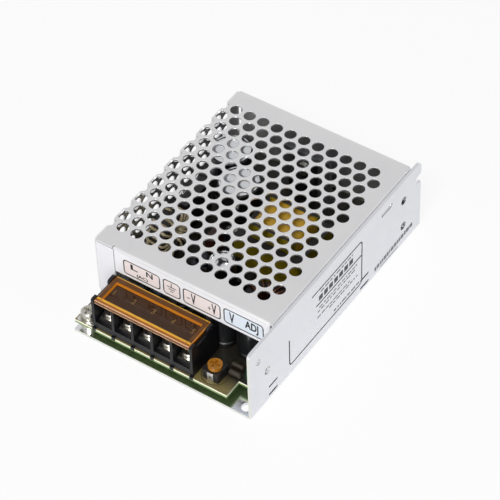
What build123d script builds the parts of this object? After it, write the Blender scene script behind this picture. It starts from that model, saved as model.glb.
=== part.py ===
from build123d import *
import os
from math import cos, pi, sin, sqrt

os.makedirs("parts", exist_ok=True)

# A mesh-case switching power supply. X runs across the case, Y from the
# terminal end to the back, Z up. The origin is under the middle of the case.

# Case, in millimetres
case_width = 78.0
case_length = 112.0
case_height = 34.0
base_sheet = 1.2
cover_sheet = 0.8
base_bend = 1.6
cover_bend = 1.2
sheet_gap = 0.1
cover_setback = 16.2
ear_reach = 4.0
panel_drop = 0.2
panel_corner = 1.8

# The width, and the length behind the cover's front, that the layout is drawn for.
# Places spread with the case, and parts are smaller in plan in a smaller case.
layout_room = (78.0, 95.8)
spread_x = case_width / layout_room[0]
spread_y = (case_length - cover_setback) / layout_room[1]
fit = min(1.0, spread_x, spread_y)

# Perforation, laid out on the flat blank of the cover
hole_diameter = 4.6
hole_sides = 8
hole_pitch = 6.05
row_pitch = 5.12
row_count = 15
top_holes = 12
wall_holes = 3
hole_margin = 7.3

# Cover edges
lip_clearance = 2.8
front_tab_width = 8.6 * fit
tab_clearance = 0.5
flange_height = 5.0
flange_relief = 3.0
wall_lift = 0.3
back_lift = 2.2

# Panel holes, measured from the front edge and the underside
side_hole_diameter = 3.5
rear_hole_y = 100.1
rear_hole_low = 10.4
rear_hole_pitch = 13.2
front_hole_y = 10.6
front_hole_z = 16.6
pilot_diameter = 2.6
pilot_y = 5.3
mount_height = 26.0
ear_slot_width = 4.3
ear_slot_depth = 3.7
hook_slot_length = 7.6
hook_slot_width = 2.0
hook_slot_y = 88.6
hook_slot_drop = 5.3
clip_width = 5.6
clip_slit = 1.0
clip_reach = 1.4
clip_places = (13.9, 73.6)

# Base holes and cover screw tabs
base_hole_diameter = 4.0
base_hole_inset = 4.3
base_hole_y = 3.3
screw_tab_width = 12.0
screw_tab_height = 11.0
screw_tab_places = (34.0, 75.0)
cover_screw_z = 6.8
cover_screw_diameter = 3.0
cover_head_diameter = 5.6
cover_head_height = 1.6
cover_screw_length = 6.0

# Circuit board and what carries it
board_thickness = 1.6
board_height = 6.0
board_front_gap = 0.6
board_back_gap = 5.5
board_side_gap = 0.2
notch_width = 9.4
notch_depth = 7.8
tab_notch_gap = 0.6
sheet_thickness = 0.4
standoff_diameter = 6.0
board_screw_diameter = 3.0
board_head_diameter = 5.6
board_head_height = 2.0
washer_diameter = 6.6
washer_thickness = 0.6
spring_washer_diameter = 5.2
spring_washer_thickness = 0.9
board_screws = ((-34.4, 4.2), (-34.4, 99.5), (33.4, 99.5), (32.6, 22.0))

# Terminal block
pole_count = 5
pole_pitch = 8.5 * fit
barrier = 1.2 * fit
block_centre = -8.25 * spread_x
block_front_gap = 1.1
block_depth = 15.6
block_top = 19.2
cell_floor = 9.4
cell_depth = 11.0
foot_height = 0.4
plate_thickness = 0.7
plate_gap = 0.35
plate_depth = 8.2
clamp_thickness = 0.8
clamp_side = 6.2 * fit
screw_diameter = 3.0
screw_head_diameter = 5.4 * fit
screw_head_height = 1.7
screw_set_back = 5.1
screw_length = 6.0
screw_lift = 2.5
drive_width = 0.9
drive_length = 3.8
drive_depth = 0.8
running_gap = 0.05

# Hinged terminal flap
flap_thickness = 1.7
flap_window = 0.7
flap_rim = 1.8
flap_back_rib = 2.6
flap_side_gap = 0.2
flap_cover_gap = 0.95
flap_front_inset = 0.2
flap_swing_gap = 0.3
flap_seat_gap = 0.15
flap_lip_drop = 1.3
flap_lip = 0.9
pin_diameter = 1.5
pin_reach = 1.0
pin_from_back = 2.1
ear_top = 21.6
hinge_ear_length = 4.0
post_length = 3.0

# Adjuster and indicator
trimmer_place = (19.4, 6.6)
trimmer_base = 6.8 * fit
trimmer_height = 4.2
rotor_diameter = 5.4 * fit
rotor_height = 1.5
rotor_post = 2.0
rotor_slot = 0.8
led_place = (30.4, 12.2)
led_diameter = 3.0 * fit
led_height = 5.4

# Power parts: place of each on the board, from the middle and the front edge
bulk_places = ((-26.6, 84.6), (-14.7, 72.5))
bulk_diameter = 16.0 * fit
bulk_height = 22.0
output_cap_places = ((12.6, 22.6), (23.7, 22.6), (1.2, 38.2))
output_cap_diameter = 10.0 * fit
output_cap_height = 20.0
small_cap_places = ((-9.5, 59.5), (-9.0, 27.0))
small_cap_diameter = 5.0 * fit
small_cap_height = 11.0
can_bevel = 0.5
can_crimp = 2.4
can_sink = 0.35
transformer_place = (10.0, 64.0)
core_width = 28.0 * fit
core_length = 24.0 * fit
core_height = 10.0
core_leg = 8.0 * fit
core_rim = 3.5 * fit
core_lift = 7.0
winding_height = 22.0
bobbin_wall = 0.8
bobbin_flange = 1.2
tape_gap = 0.5
sink_place = (-1.5, 97.2)
sink_width = 20.0 * fit
sink_height = 22.0
sink_plate = 2.0
sink_foot = 4.4 * fit
diode_sink_place = (33.0, 41.0)
diode_sink_length = 26.0 * fit
tab_case_width = 10.0 * fit
tab_case_height = 15.6
tab_case_mould = 9.2
tab_case_depth = 4.4 * fit
lead_length = 4.0
lead_pitch = 2.54 * fit
sink_screw_diameter = 3.0
sink_head_diameter = 5.4
sink_head_height = 2.0
sink_hole_drop = 2.8
sink_tab = 1.3
inductor_place = (18.3, 40.0)
inductor_diameter = 17.0 * fit
inductor_bore = 8.0 * fit
inductor_height = 7.0
inductor_gaps = (200,)
choke_place = (-29.0, 47.0)
choke_diameter = 17.0 * fit
choke_bore = 9.0 * fit
choke_height = 6.5 * fit
choke_gaps = (0, 180)
wire_bulk = 1.3 * fit
x_cap_place = (-25.5, 30.5)
x_cap_size = (13.0 * fit, 7.0 * fit, 12.5)
y_cap_places = ((-13.0, 40.0), (-13.0, 46.0), (-3.0, 84.0))
disc_diameter = 7.0 * fit
disc_thickness = 3.0 * fit
thermistor_place = (-12.5, 33.0)
thermistor_diameter = 9.0 * fit
varistor_place = (-16.5, 21.5)
fuse_place = (-29.5, 21.6)
fuse_diameter = 5.2 * fit
fuse_length = 16.0 * fit
fuse_lift = 1.2
clip_length = 4.0 * fit
clip_wall = 0.5
clip_inset = 2.5 * fit
bridge_place = (-30.5, 65.5)
bridge_size = (4.6 * fit, 16.0 * fit, 14.0)
film_cap_places = ((-15.0, 56.0), (27.5, 86.0), (30.0, 72.0))
film_cap_size = (4.2 * fit, 8.0 * fit, 8.5)
resistor_places = ((24.6, 13.2), (25.7, 9.8), (-2.0, 27.0), (15.5, 84.5), (-24.0, 59.0))
resistor_diameter = 2.4 * fit
resistor_length = 5.2 * fit
chip_place = (-5.0, 48.5)
chip_size = (6.4 * fit, 9.6 * fit, 3.4)
chip_pins = 4
coupler_place = (4.4, 48.0)
coupler_size = (4.6 * fit, 6.4 * fit, 3.6)
coupler_pins = 2

# Planes and edges worked out from the driving sizes
left = -case_width / 2
right = case_width / 2
front = -case_length / 2
back = case_length / 2
panel_inside = right - base_sheet
panel_top = case_height - panel_drop
cover_front = front + cover_setback
cover_back = back - ear_reach
cover_right = panel_inside - sheet_gap
cover_under = case_height - cover_sheet
hook_slot_z = case_height - hook_slot_drop
lip_height = case_height - block_top - lip_clearance
base_left = left + cover_sheet
board_top = board_height
board_bottom = board_top - board_thickness
board_front = front + board_front_gap
board_back = back - board_back_gap
board_right = panel_inside - board_side_gap
block_front = front + block_front_gap
block_back = block_front + block_depth
block_length = pole_count * pole_pitch + barrier
block_left = block_centre - block_length / 2
block_right = block_centre + block_length / 2
screw_y = block_front + screw_set_back
plate_top = cell_floor + plate_thickness
clamp_top = plate_top + clamp_thickness
flap_bottom = block_top + flap_seat_gap
flap_top = flap_bottom + flap_thickness
flap_left = block_left + barrier + flap_side_gap
flap_right = block_right - barrier - flap_side_gap
flap_back = cover_front - flap_cover_gap
flap_front = block_front + flap_front_inset
pin_y = flap_back - pin_from_back
pin_z = flap_bottom + flap_thickness / 2
swing = sqrt(pin_from_back ** 2 + (flap_thickness / 2) ** 2) + flap_swing_gap


def box(low, high):
    """A block from its lowest to its highest corner."""
    size = [high[k] - low[k] for k in range(3)]
    middle = [(high[k] + low[k]) / 2 for k in range(3)]
    return Pos(*middle) * Box(*size)


def rod(diameter, low, high, x=0.0, y=0.0):
    """An upright round bar between two heights."""
    return Pos(x, y, (low + high) / 2) * Cylinder(diameter / 2, high - low)


def rod_x(diameter, low, high, y, z):
    """A round bar along X."""
    return Pos((low + high) / 2, y, z) * Rot(0, 90, 0) * Cylinder(diameter / 2, high - low)


def rod_y(diameter, low, high, x, z):
    """A round bar along Y."""
    return Pos(x, (low + high) / 2, z) * Rot(90, 0, 0) * Cylinder(diameter / 2, high - low)


def fillet_edges(part, axis, radius, keep):
    """Rounds the edges along an axis that a test on their middle picks out."""
    chosen = [e for e in part.edges().filter_by(axis) if keep(e.center())]
    return fillet(chosen, radius)


def folded(width, height, sheet, bend, length):
    """An L of folded sheet: a floor of this width from x = 0 with a wall at its right end."""
    outer = Pos(width / 2, height / 2) * Rectangle(width, height)
    corner = [v for v in outer.vertices() if v.X > width / 2 and v.Y < height / 2]
    outer = fillet(corner, bend)
    inner = Pos((width - sheet) / 2, (height + sheet) / 2) * Rectangle(width - sheet, height - sheet)
    corner = [v for v in inner.vertices() if v.X > width / 2 and v.Y < height / 2 + sheet / 2]
    inner = fillet(corner, bend - sheet)
    profile = Plane.XZ * (outer - inner)
    return extrude(profile, -length)


def panel_y(from_front):
    """A place along the case, given from its front edge in the layout."""
    return cover_front + (from_front - cover_setback) * spread_y


def spot(place):
    """Where a board part stands, given its place in the layout."""
    return place[0] * spread_x, panel_y(place[1])


def screw_spots():
    """Where the board screws stand."""
    return [spot(place) for place in board_screws]


def side_cut(diameter, y, z):
    """A round cutter through the side panel."""
    return rod_x(diameter, panel_inside - base_sheet, right + base_sheet, y, z)


def chassis():
    """Base and side panel, folded from one aluminium sheet, with two screw tabs."""
    width = right - base_left
    body = Pos(base_left, front, 0) * folded(width, panel_top, base_sheet, base_bend, case_length)
    body = fillet_edges(body, Axis.X, panel_corner, lambda c: c.X > panel_inside and c.Z > panel_top / 2)
    tab_inside = base_left + base_sheet
    for place in screw_tab_places:
        y = panel_y(place)
        low, high = y - screw_tab_width / 2, y + screw_tab_width / 2
        tab = box((base_left, low, 0), (tab_inside, high, screw_tab_height))
        tab = fillet_edges(tab, Axis.X, 2.0, lambda c: c.Z > screw_tab_height / 2)
        body = body + tab
        body = body - rod_x(cover_screw_diameter, base_left - 1, tab_inside + 1, y, cover_screw_z)
        body = body - countersink(y)
    base_hole_x = right - base_hole_inset
    body = body - rod(base_hole_diameter, -1, base_sheet + 1, base_hole_x, panel_y(base_hole_y))
    for level in (rear_hole_low, rear_hole_low + rear_hole_pitch):
        body = body - side_cut(side_hole_diameter, panel_y(rear_hole_y), level)
    body = body - side_cut(side_hole_diameter, panel_y(front_hole_y), front_hole_z)
    body = body - side_cut(pilot_diameter, panel_y(pilot_y), mount_height)
    slot_end = back - ear_slot_depth + ear_slot_width / 2
    body = body - side_cut(ear_slot_width, slot_end, mount_height)
    half = ear_slot_width / 2
    body = body - box((panel_inside - 1, slot_end, mount_height - half),
                      (right + 1, back + 1, mount_height + half))
    body = body - hook_slot(0.0)
    for place in clip_places:
        body = body - board_slits(panel_y(place)) + board_ledges(panel_y(place))
    return body


def hook_slot(inset):
    """The oblong slot in the panel, or the tongue that hooks into it when inset."""
    y, half = panel_y(hook_slot_y), (hook_slot_length - hook_slot_width) / 2
    thick = hook_slot_width - 2 * inset
    low, high = panel_inside - base_sheet, right + base_sheet
    slot = box((low, y - half, hook_slot_z - thick / 2), (high, y + half, hook_slot_z + thick / 2))
    for end in (y - half, y + half):
        slot = slot + rod_x(thick, low, high, end, hook_slot_z)
    return slot


def board_slits(y):
    """Two short slits lanced through the panel, above and below the board's edge."""
    half = clip_width / 2
    upper = board_top + clip_slit / 2
    lower = board_bottom - 2 * clip_slit
    slits = []
    for z in (upper, lower):
        slits.append(box((panel_inside - 1, y - half, z), (right + 1, y + half, z + clip_slit)))
    return slits[0] + slits[1]


def board_ledges(y):
    """The strips pressed inward beside the slits, which hold the board's edge."""
    half = clip_width / 2 - 0.4
    low_x, high_x = panel_inside - clip_reach, right - base_sheet / 2
    upper = box((low_x, y - half, board_top), (high_x, y + half, board_top + clip_slit / 2))
    lower = box((low_x, y - half, board_bottom - clip_slit), (high_x, y + half, board_bottom))
    return upper + lower


def countersink(y):
    """The cone that a countersunk cover screw seats in, from the cover's outer face."""
    cone = Cone(cover_head_diameter / 2, cover_screw_diameter / 2, cover_head_height)
    return Pos(left + cover_head_height / 2, y, cover_screw_z) * Rot(0, 90, 0) * cone


def hole_prism(half_width, depth):
    """A hole cutter along Z with the round hole's area, half_width along X."""
    swell = sqrt(2 * pi / (hole_sides * sin(2 * pi / hole_sides)))
    step = 2 * pi / hole_sides
    points = []
    for k in range(hole_sides):
        angle = (k + 0.5) * step
        points.append((half_width * swell * cos(angle), hole_diameter / 2 * swell * sin(angle)))
    return extrude(Polygon(*points, align=None), depth / 2, both=True)


def hole_at(across, y):
    """A cutter for the hole this far from the cover's right edge on the flat blank."""
    radius = hole_diameter / 2
    bend_start = cover_right - left - cover_bend
    bend_length = (cover_bend - cover_sheet / 2) * pi / 2
    if across < bend_start:
        level = case_height - cover_bend / 2
        return Pos(cover_right - across, y, level) * hole_prism(radius, cover_bend)
    below = across - bend_start - bend_length
    if below > radius:
        wall = left + cover_bend / 2
        return Pos(wall, y, case_height - cover_bend - below) * Rot(0, 90, 0) * hole_prism(radius, cover_bend)
    on_top = cover_bend + radius - (across - bend_start)
    on_wall = cover_bend + below + radius
    shift = (on_wall - on_top) / 2
    half_width = (on_wall + on_top) / (2 * sqrt(2))
    corner = Pos(left - shift / 2, y, case_height - shift / 2)
    return corner * Rot(0, -45, 0) * hole_prism(half_width, 4 * cover_bend + 2 * shift)


def perforation():
    """Cutters for the staggered holes of the top, the bend and the left wall."""
    middle = (cover_front + cover_back) / 2
    cutters = []
    for row in range(row_count):
        y = middle + (row - (row_count - 1) / 2) * row_pitch
        odd = row % 2
        first = hole_margin if odd else hole_margin + hole_pitch / 2
        for column in range(top_holes + wall_holes):
            cutters.append(hole_at(first + column * hole_pitch, y))
    return cutters


def cover():
    """Top, left wall, front lip, front tab, back wall and right flange, folded from one sheet."""
    width = cover_right - left
    outer = Pos(0, 0) * Rectangle(width, case_height - wall_lift)
    top_corners = outer.vertices().group_by(Axis.Y)[-1]
    outer = fillet(top_corners, cover_bend)
    inner_height = case_height - wall_lift - cover_sheet
    inner = Rectangle(width - 2 * cover_sheet, inner_height)
    inner = fillet(inner.vertices().group_by(Axis.Y)[-1], cover_bend - cover_sheet)
    profile = outer - Pos(0, -cover_sheet / 2) * inner
    profile = Plane.XZ * Pos((cover_right + left) / 2, (case_height + wall_lift) / 2) * profile
    flat_front = cover_front + cover_bend
    flat_back = cover_back - cover_bend
    body = Pos(0, flat_front, 0) * extrude(profile, -(flat_back - flat_front))
    flange_low = case_height - flange_height
    body = body - box((cover_right - 3, front, 0), (cover_right + 1, back, flange_low))
    for low, high in ((flat_front, flat_front + flange_relief), (flat_back - flange_relief, flat_back)):
        body = body - box((cover_right - cover_bend, low, 0), (cover_right + 1, high, case_height + 1))
    over_tab = box((left + cover_bend, cover_front, cover_under),
                   (left + front_tab_width, flat_front + 0.5, case_height))
    body = body + over_tab + front_lip() + back_wall() + front_tab() + hook_tongue()
    screw_seats = [countersink(panel_y(place)) for place in screw_tab_places]
    return body - perforation() - screw_seats


def hook_tongue():
    """The flange's tongue that hooks into the panel's slot."""
    y, half = panel_y(hook_slot_y), hook_slot_length / 2 - 0.3
    root = cover_right - cover_sheet
    hang_low, hang_high = hook_slot_z - hook_slot_width, case_height - flange_height
    hang = box((root, y - half, hang_low), (cover_right, y + half, hang_high))
    catch = hook_slot(0.2) & box((root, y - half, 0), (right - 0.3, y + half, case_height))
    return hang + catch


def front_lip():
    """The strip folded down at the front edge, which carries the terminal marks."""
    low_x, high_x = left + front_tab_width + tab_clearance, cover_right - cover_bend
    return edge_fold(low_x, high_x, lip_height, cover_front, 1)


def back_wall():
    """The wall folded down at the back edge."""
    low_x, high_x = left + cover_bend, cover_right - cover_bend
    return edge_fold(low_x, high_x, case_height - back_lift, cover_back, -1)


def edge_fold(low_x, high_x, drop, face, inward):
    """A strip folded down from the top sheet at its front or back edge."""
    lap = cover_bend + 0.5
    outer = Rectangle(lap, drop, align=(Align.MIN, Align.MAX))
    outer = fillet(outer.vertices().group_by(Axis.Y)[-1].sort_by(Axis.X)[0], cover_bend)
    inner = Pos(cover_sheet, -cover_sheet) * Rectangle(lap, drop, align=(Align.MIN, Align.MAX))
    inner = fillet(inner.vertices().group_by(Axis.Y)[-1].sort_by(Axis.X)[0], cover_bend - cover_sheet)
    start = low_x if inward > 0 else high_x
    plane = Plane((start, face, case_height), x_dir=(0, inward, 0), z_dir=(inward, 0, 0))
    return extrude(plane * (outer - inner), high_x - low_x)


def front_tab():
    """The tab folded round from the left wall to the front, beside the terminals."""
    low, high = board_top + 1.4, cover_under - 0.2
    blank = Rectangle(front_tab_width, cover_bend + 1.5, align=(Align.MIN, Align.MIN))
    outer = Pos(left, cover_front) * blank
    outer = fillet([outer.vertices().sort_by(lambda v: v.X + v.Y)[0]], cover_bend)
    inner = Pos(left + cover_sheet, cover_front + cover_sheet) * blank
    inner = fillet([inner.vertices().sort_by(lambda v: v.X + v.Y)[0]], cover_bend - cover_sheet)
    return Pos(0, 0, low) * extrude(outer - inner, high - low)


def cover_screws():
    """Countersunk screws through the cover's left wall into the base tabs."""
    screws = []
    for place in screw_tab_places:
        y = panel_y(place)
        head = countersink(y)
        low, high = left + cover_head_height, left + cover_screw_length
        shank = rod_x(cover_screw_diameter, low, high, y, cover_screw_z)
        recess = cross_recess(0, 0, 0)
        screws.append(head + shank - Pos(left, y, cover_screw_z) * Rot(0, -90, 0) * recess)
    return Compound(children=screws)


def board():
    """The circuit board: notched at its front right corner and round the screw tabs."""
    wide_left = base_left + board_side_gap
    body = box((wide_left, board_front, board_bottom), (board_right, board_back, board_top))
    notch_left = board_right - notch_width
    body = body - box((notch_left, board_front - 1, 0), (right, board_front + notch_depth, board_top + 1))
    inner_left = base_left + base_sheet + tab_notch_gap
    for place in screw_tab_places:
        y, half = panel_y(place), screw_tab_width / 2 + tab_notch_gap
        reach = left + cover_screw_length + tab_notch_gap
        body = body - box((left, y - half, 0), (inner_left, y + half, board_top + 1))
        body = body - box((left, y - 2.2, 0), (reach, y + 2.2, board_top + 1))
    for x, y in screw_spots():
        body = body - rod(board_screw_diameter, 0, board_top + 1, x, y)
    return body


def insulation_sheet():
    """The insulating sheet that lies on the base under the board."""
    low, high = base_sheet, base_sheet + sheet_thickness
    body = box((base_left + 3, cover_front, low), (panel_inside - 2.5, board_back, high))
    for x, y in screw_spots():
        body = body - rod(standoff_diameter + 1, 0, high + 1, x, y)
    for place in screw_tab_places:
        y = panel_y(place)
        body = body - box((left, y - 4, 0), (left + cover_screw_length + 1, y + 4, high + 1))
    return body


def standoffs():
    """Pressed spacers between the base and the board, each drilled for its screw."""
    posts = []
    for x, y in screw_spots():
        post = rod(standoff_diameter, base_sheet, board_bottom, x, y)
        posts.append(post - rod(board_screw_diameter, 0, board_top, x, y))
    return Compound(children=posts)


def board_screw_set():
    """Cross-recess pan-head screws that hold the board."""
    seat = board_top + washer_thickness + spring_washer_thickness
    screws = []
    for x, y in screw_spots():
        head = rod(board_head_diameter, seat, seat + board_head_height, x, y)
        head = chamfer(head.edges().group_by(Axis.Z)[-1], 0.5)
        shank = rod(board_screw_diameter, base_sheet + 0.2, seat, x, y)
        screws.append(head + shank - cross_recess(x, y, seat + board_head_height))
    return Compound(children=screws)


def cross_recess(x, y, top):
    """A cross-shaped driver recess in a screw head's top."""
    half, reach = drive_width / 2, drive_length / 2
    bar = box((x - reach, y - half, top - drive_depth), (x + reach, y + half, top + 1))
    return bar + box((x - half, y - reach, top - drive_depth), (x + half, y + reach, top + 1))


def board_washers():
    """A flat washer and a spring washer under each board screw."""
    rings = []
    for x, y in screw_spots():
        middle = board_top + washer_thickness
        ring = rod(washer_diameter, board_top, middle, x, y)
        spring = rod(spring_washer_diameter, middle, middle + spring_washer_thickness, x, y)
        hole = rod(board_screw_diameter, board_top - 1, middle + 2, x, y)
        rings.append(ring + spring - hole)
    return Compound(children=rings)


def pole_x(pole):
    """The middle of one terminal, counted from the left."""
    return block_centre + (pole - (pole_count - 1) / 2) * pole_pitch


def terminal_body():
    """The moulded block: a base, barriers between the poles and ears for the flap."""
    low = board_top + foot_height
    body = box((block_left, block_front, low), (block_right, block_back, block_top))
    cell_back = block_front + cell_depth
    for pole in range(pole_count):
        x, half = pole_x(pole), (pole_pitch - barrier) / 2
        body = body - box((x - half, block_front - 1, cell_floor), (x + half, cell_back, block_top + 1))
        body = body - rod(screw_diameter + 2 * running_gap, board_top, block_top, x, screw_y)
    # The top behind the cells is lower, so that the flap's back edge can swing down there.
    body = body - box((block_left + barrier, pin_y - swing, pin_z - swing),
                      (block_right - barrier, block_back + 1, block_top + 1))
    for k in range(pole_count + 1):
        x = block_left + k * pole_pitch
        body = body + box((x, block_front, board_top), (x + barrier, block_back, low))
    for low_x in (block_left, block_right - barrier):
        high_x = low_x + barrier
        ear_front = pin_y - hinge_ear_length / 2
        ear = box((low_x, ear_front, block_top - 1), (high_x, ear_front + hinge_ear_length, ear_top))
        ear = fillet_edges(ear, Axis.X, 1.2, lambda c: c.Z > block_top)
        post = box((low_x, block_front, block_top - 1), (high_x, block_front + post_length, ear_top - 0.6))
        post = fillet_edges(post, Axis.X, 0.8, lambda c: c.Z > block_top)
        body = body + ear + post
    bore = rod_x(pin_diameter + 2 * running_gap, block_left - 1, block_right + 1, pin_y, pin_z)
    return body - bore


def terminal_plates():
    """The nickel contact plates on the cell floors, each tapped for its screw."""
    plates = []
    for pole in range(pole_count):
        x = pole_x(pole)
        half = (pole_pitch - barrier) / 2 - plate_gap
        low_y = screw_y - clamp_side / 2
        plate = box((x - half, low_y, cell_floor), (x + half, low_y + plate_depth, plate_top))
        plates.append(plate - rod(screw_diameter + 2 * running_gap, 0, block_top, x, screw_y))
    return Compound(children=plates)


def clamp(pole):
    """The square wire clamp under a terminal screw, with its two front corners cut."""
    x, half = pole_x(pole), clamp_side / 2
    body = box((x - half, screw_y - half, plate_top), (x + half, screw_y + half, clamp_top))
    body = chamfer([e for e in body.edges().filter_by(Axis.Z) if e.center().Y < screw_y], 0.8)
    return body - rod(screw_diameter + 2 * running_gap, 0, block_top, x, screw_y)


def terminal_screw(pole):
    """A terminal screw: pan head with a cross recess, and its shank."""
    x = pole_x(pole)
    top = clamp_top + screw_head_height
    head = rod(screw_head_diameter, clamp_top, top, x, screw_y)
    head = chamfer(head.edges().group_by(Axis.Z)[-1], 0.4)
    low = max(board_top + foot_height + 0.2, clamp_top - screw_length)
    shank = rod(screw_diameter, low, clamp_top, x, screw_y)
    return head + shank - cross_recess(x, screw_y, top)


def terminal_flap():
    """The clear flap over the terminals: a rimmed window, a front lip and two hinge pins."""
    body = box((flap_left, flap_front, flap_bottom), (flap_right, flap_back, flap_top))
    body = fillet_edges(body, Axis.X, 0.7, lambda c: c.Z > pin_z)
    window_back = flap_back - flap_back_rib
    window = box((flap_left + flap_rim, flap_front + flap_rim, flap_bottom + flap_window),
                 (flap_right - flap_rim, window_back, flap_top + 1))
    body = body - fillet(window.edges().filter_by(Axis.Z), 0.8)
    under = box((flap_left + flap_lip, flap_front + flap_lip, flap_bottom - 1),
                (flap_right - flap_lip, window_back - 1.2, flap_bottom + 0.15))
    body = body - under
    for pole in range(pole_count):
        x, half = pole_x(pole), (pole_pitch - barrier) / 2 - 0.3
        body = body + box((x - half, flap_front, flap_bottom - flap_lip_drop),
                          (x + half, flap_front + flap_lip, flap_bottom + 0.4))
    for low, high in ((flap_left - pin_reach, flap_left + 1), (flap_right - 1, flap_right + pin_reach)):
        body = body + rod_x(pin_diameter, low, high, pin_y, pin_z)
    return body


def trimmer_body():
    """The adjuster's housing, with the well its rotor turns in."""
    x, y = spot(trimmer_place)
    half = trimmer_base / 2
    top = board_top + trimmer_height
    body = box((x - half, y - half, board_top), (x + half, y + half, top))
    body = fillet(body.edges().filter_by(Axis.Z), 0.8)
    return body - rod(rotor_post + 2 * running_gap, board_top + 1, top + 1, x, y)


def trimmer_rotor():
    """The adjuster's slotted wheel on its post."""
    x, y = spot(trimmer_place)
    low = board_top + trimmer_height + running_gap
    body = rod(rotor_diameter, low, low + rotor_height, x, y)
    body = body + rod(rotor_post, board_top + 1 + running_gap, low, x, y)
    return body - cross_recess(x, y, low + rotor_height)


def output_led():
    """The round indicator lamp with its base rim and domed lens."""
    x, y = spot(led_place)
    radius = led_diameter / 2
    body = rod(led_diameter + 0.6, board_top, board_top + 0.9, x, y)
    body = body + rod(led_diameter, board_top, board_top + led_height - radius, x, y)
    return body + Pos(x, y, board_top + led_height - radius) * Sphere(radius)


def can(diameter, height, x, y):
    """An electrolytic capacitor, turned from its outline: crimped near its foot, with a sunk top."""
    wall, rim = diameter / 2, diameter / 2 - can_bevel
    outline = [
        (0, 0), (rim, 0), (wall, can_bevel),
        (wall, can_crimp - can_bevel), (rim, can_crimp), (wall, can_crimp + can_bevel),
        (wall, height - can_bevel), (rim, height), (rim - can_bevel, height),
        (rim - can_bevel, height - can_sink), (0, height - can_sink),
    ]
    profile = Plane.XZ * make_face(Polyline(*outline, close=True))
    return Pos(x, y, board_top) * revolve(profile, Axis.Z)


def cans(diameter, height, places):
    """A group of like capacitors."""
    return Compound(children=[can(diameter, height, *spot(place)) for place in places])


def transformer_core():
    """Two E cores met end to end, lying flat: a rim, two windows and a middle leg."""
    x, y = spot(transformer_place)
    low, high = board_top + core_lift, board_top + core_lift + core_height
    half_x, half_y = core_width / 2, core_length / 2
    body = box((x - half_x, y - half_y, low), (x + half_x, y + half_y, high))
    body = fillet(body.edges().filter_by(Axis.Z), 1.0)
    for side in (-1, 1):
        near, far = side * core_leg / 2, side * (half_x - core_rim)
        window = box((x + min(near, far), y - half_y + core_rim, low - 1),
                     (x + max(near, far), y + half_y - core_rim, high + 1))
        body = body - window
    return body


def winding_box(grow):
    """The transformer winding's block, larger all round by grow except along its axis."""
    x, y = spot(transformer_place)
    half_x = core_width / 2 - core_rim - tape_gap + grow
    half_y = core_length / 2 - core_rim - bobbin_flange - tape_gap / 2
    middle = board_top + core_lift + core_height / 2
    half_z = winding_height / 2 + grow
    return box((x - half_x, y - half_y, middle - half_z), (x + half_x, y + half_y, middle + half_z))


def tube_box(grow):
    """The bobbin tube round the core's middle leg, larger all round by grow."""
    x, y = spot(transformer_place)
    half_y = core_length / 2 - core_rim - tape_gap / 2
    middle = board_top + core_lift + core_height / 2
    half_x = core_leg / 2 + grow
    half_z = core_height / 2 + grow
    return box((x - half_x, y - half_y, middle - half_z), (x + half_x, y + half_y, middle + half_z))


def transformer_bobbin():
    """The moulded bobbin: a tube on the middle leg, two flanges and two pin rails."""
    x, y = spot(transformer_place)
    body = tube_box(sheet_gap + bobbin_wall)
    inner_y = core_length / 2 - core_rim - tape_gap / 2
    middle = board_top + core_lift + core_height / 2
    half_x = core_width / 2 - core_rim - tape_gap / 2
    for side in (-1, 1):
        ends = sorted((y + side * inner_y, y + side * (inner_y - bobbin_flange)))
        half_z = winding_height / 2 + 0.4
        body = body + box((x - half_x, ends[0], middle - half_z), (x + half_x, ends[1], middle + half_z))
        rail = sorted((y + side * (inner_y - bobbin_flange), y + side * (core_length / 2)))
        rail_top = board_top + core_lift - 0.1
        body = body + box((x - half_x, rail[0], board_top), (x + half_x, rail[1], rail_top))
    return body - tube_box(sheet_gap)


def transformer_winding():
    """The taped winding that fills the bobbin."""
    body = winding_box(0)
    body = fillet(body.edges().filter_by(Axis.Y), 3.0)
    return body - tube_box(sheet_gap + bobbin_wall)


def heatsink(x, y, width, along_x):
    """An aluminium L: an upright plate with a foot on the board."""
    plate = box((-width / 2, 0, 0), (width / 2, sink_plate, sink_height))
    foot = box((-width / 2, 0, 0), (width / 2, sink_foot, sink_plate))
    body = plate + foot
    hole_z = lead_length + tab_case_height - sink_hole_drop
    hole = Rot(90, 0, 0) * Cylinder(sink_screw_diameter / 2, sink_plate + 1)
    body = body - Pos(0, sink_plate / 2, hole_z) * hole
    turn = 0 if along_x else -90
    return Pos(x, y, board_top) * Rot(0, 0, turn) * body


def tab_case(x, y, along_x):
    """A three-lead power transistor case with its mounting tab and hole."""
    low, high = lead_length, lead_length + tab_case_height
    plastic_high = low + tab_case_mould
    half = tab_case_width / 2
    body = box((-half, -tab_case_depth, low), (half, 0, plastic_high))
    body = body + box((-half, -sink_tab, plastic_high), (half, 0, high))
    hole_z = high - sink_hole_drop
    body = body - Pos(0, 0, hole_z) * Rot(90, 0, 0) * Cylinder(sink_screw_diameter / 2, 2 * tab_case_depth)
    for k in (-1, 0, 1):
        body = body + box((k * lead_pitch - 0.45, -2.7, 0), (k * lead_pitch + 0.45, -2.2, low))
    turn = 0 if along_x else -90
    return Pos(x, y, board_top) * Rot(0, 0, turn) * body


def sink_screw(x, y, along_x):
    """The screw that clamps a transistor case to its heatsink."""
    hole_z = lead_length + tab_case_height - sink_hole_drop
    head = Rot(90, 0, 0) * Cylinder(sink_head_diameter / 2, sink_head_height)
    head = Pos(0, -sink_tab - sink_head_height / 2, hole_z) * head
    shank = Rot(90, 0, 0) * Cylinder(sink_screw_diameter / 2, sink_plate + sink_tab)
    shank = Pos(0, (sink_plate - sink_tab) / 2, hole_z) * shank
    turn = 0 if along_x else -90
    return Pos(x, y, board_top) * Rot(0, 0, turn) * (head + shank)


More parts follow.
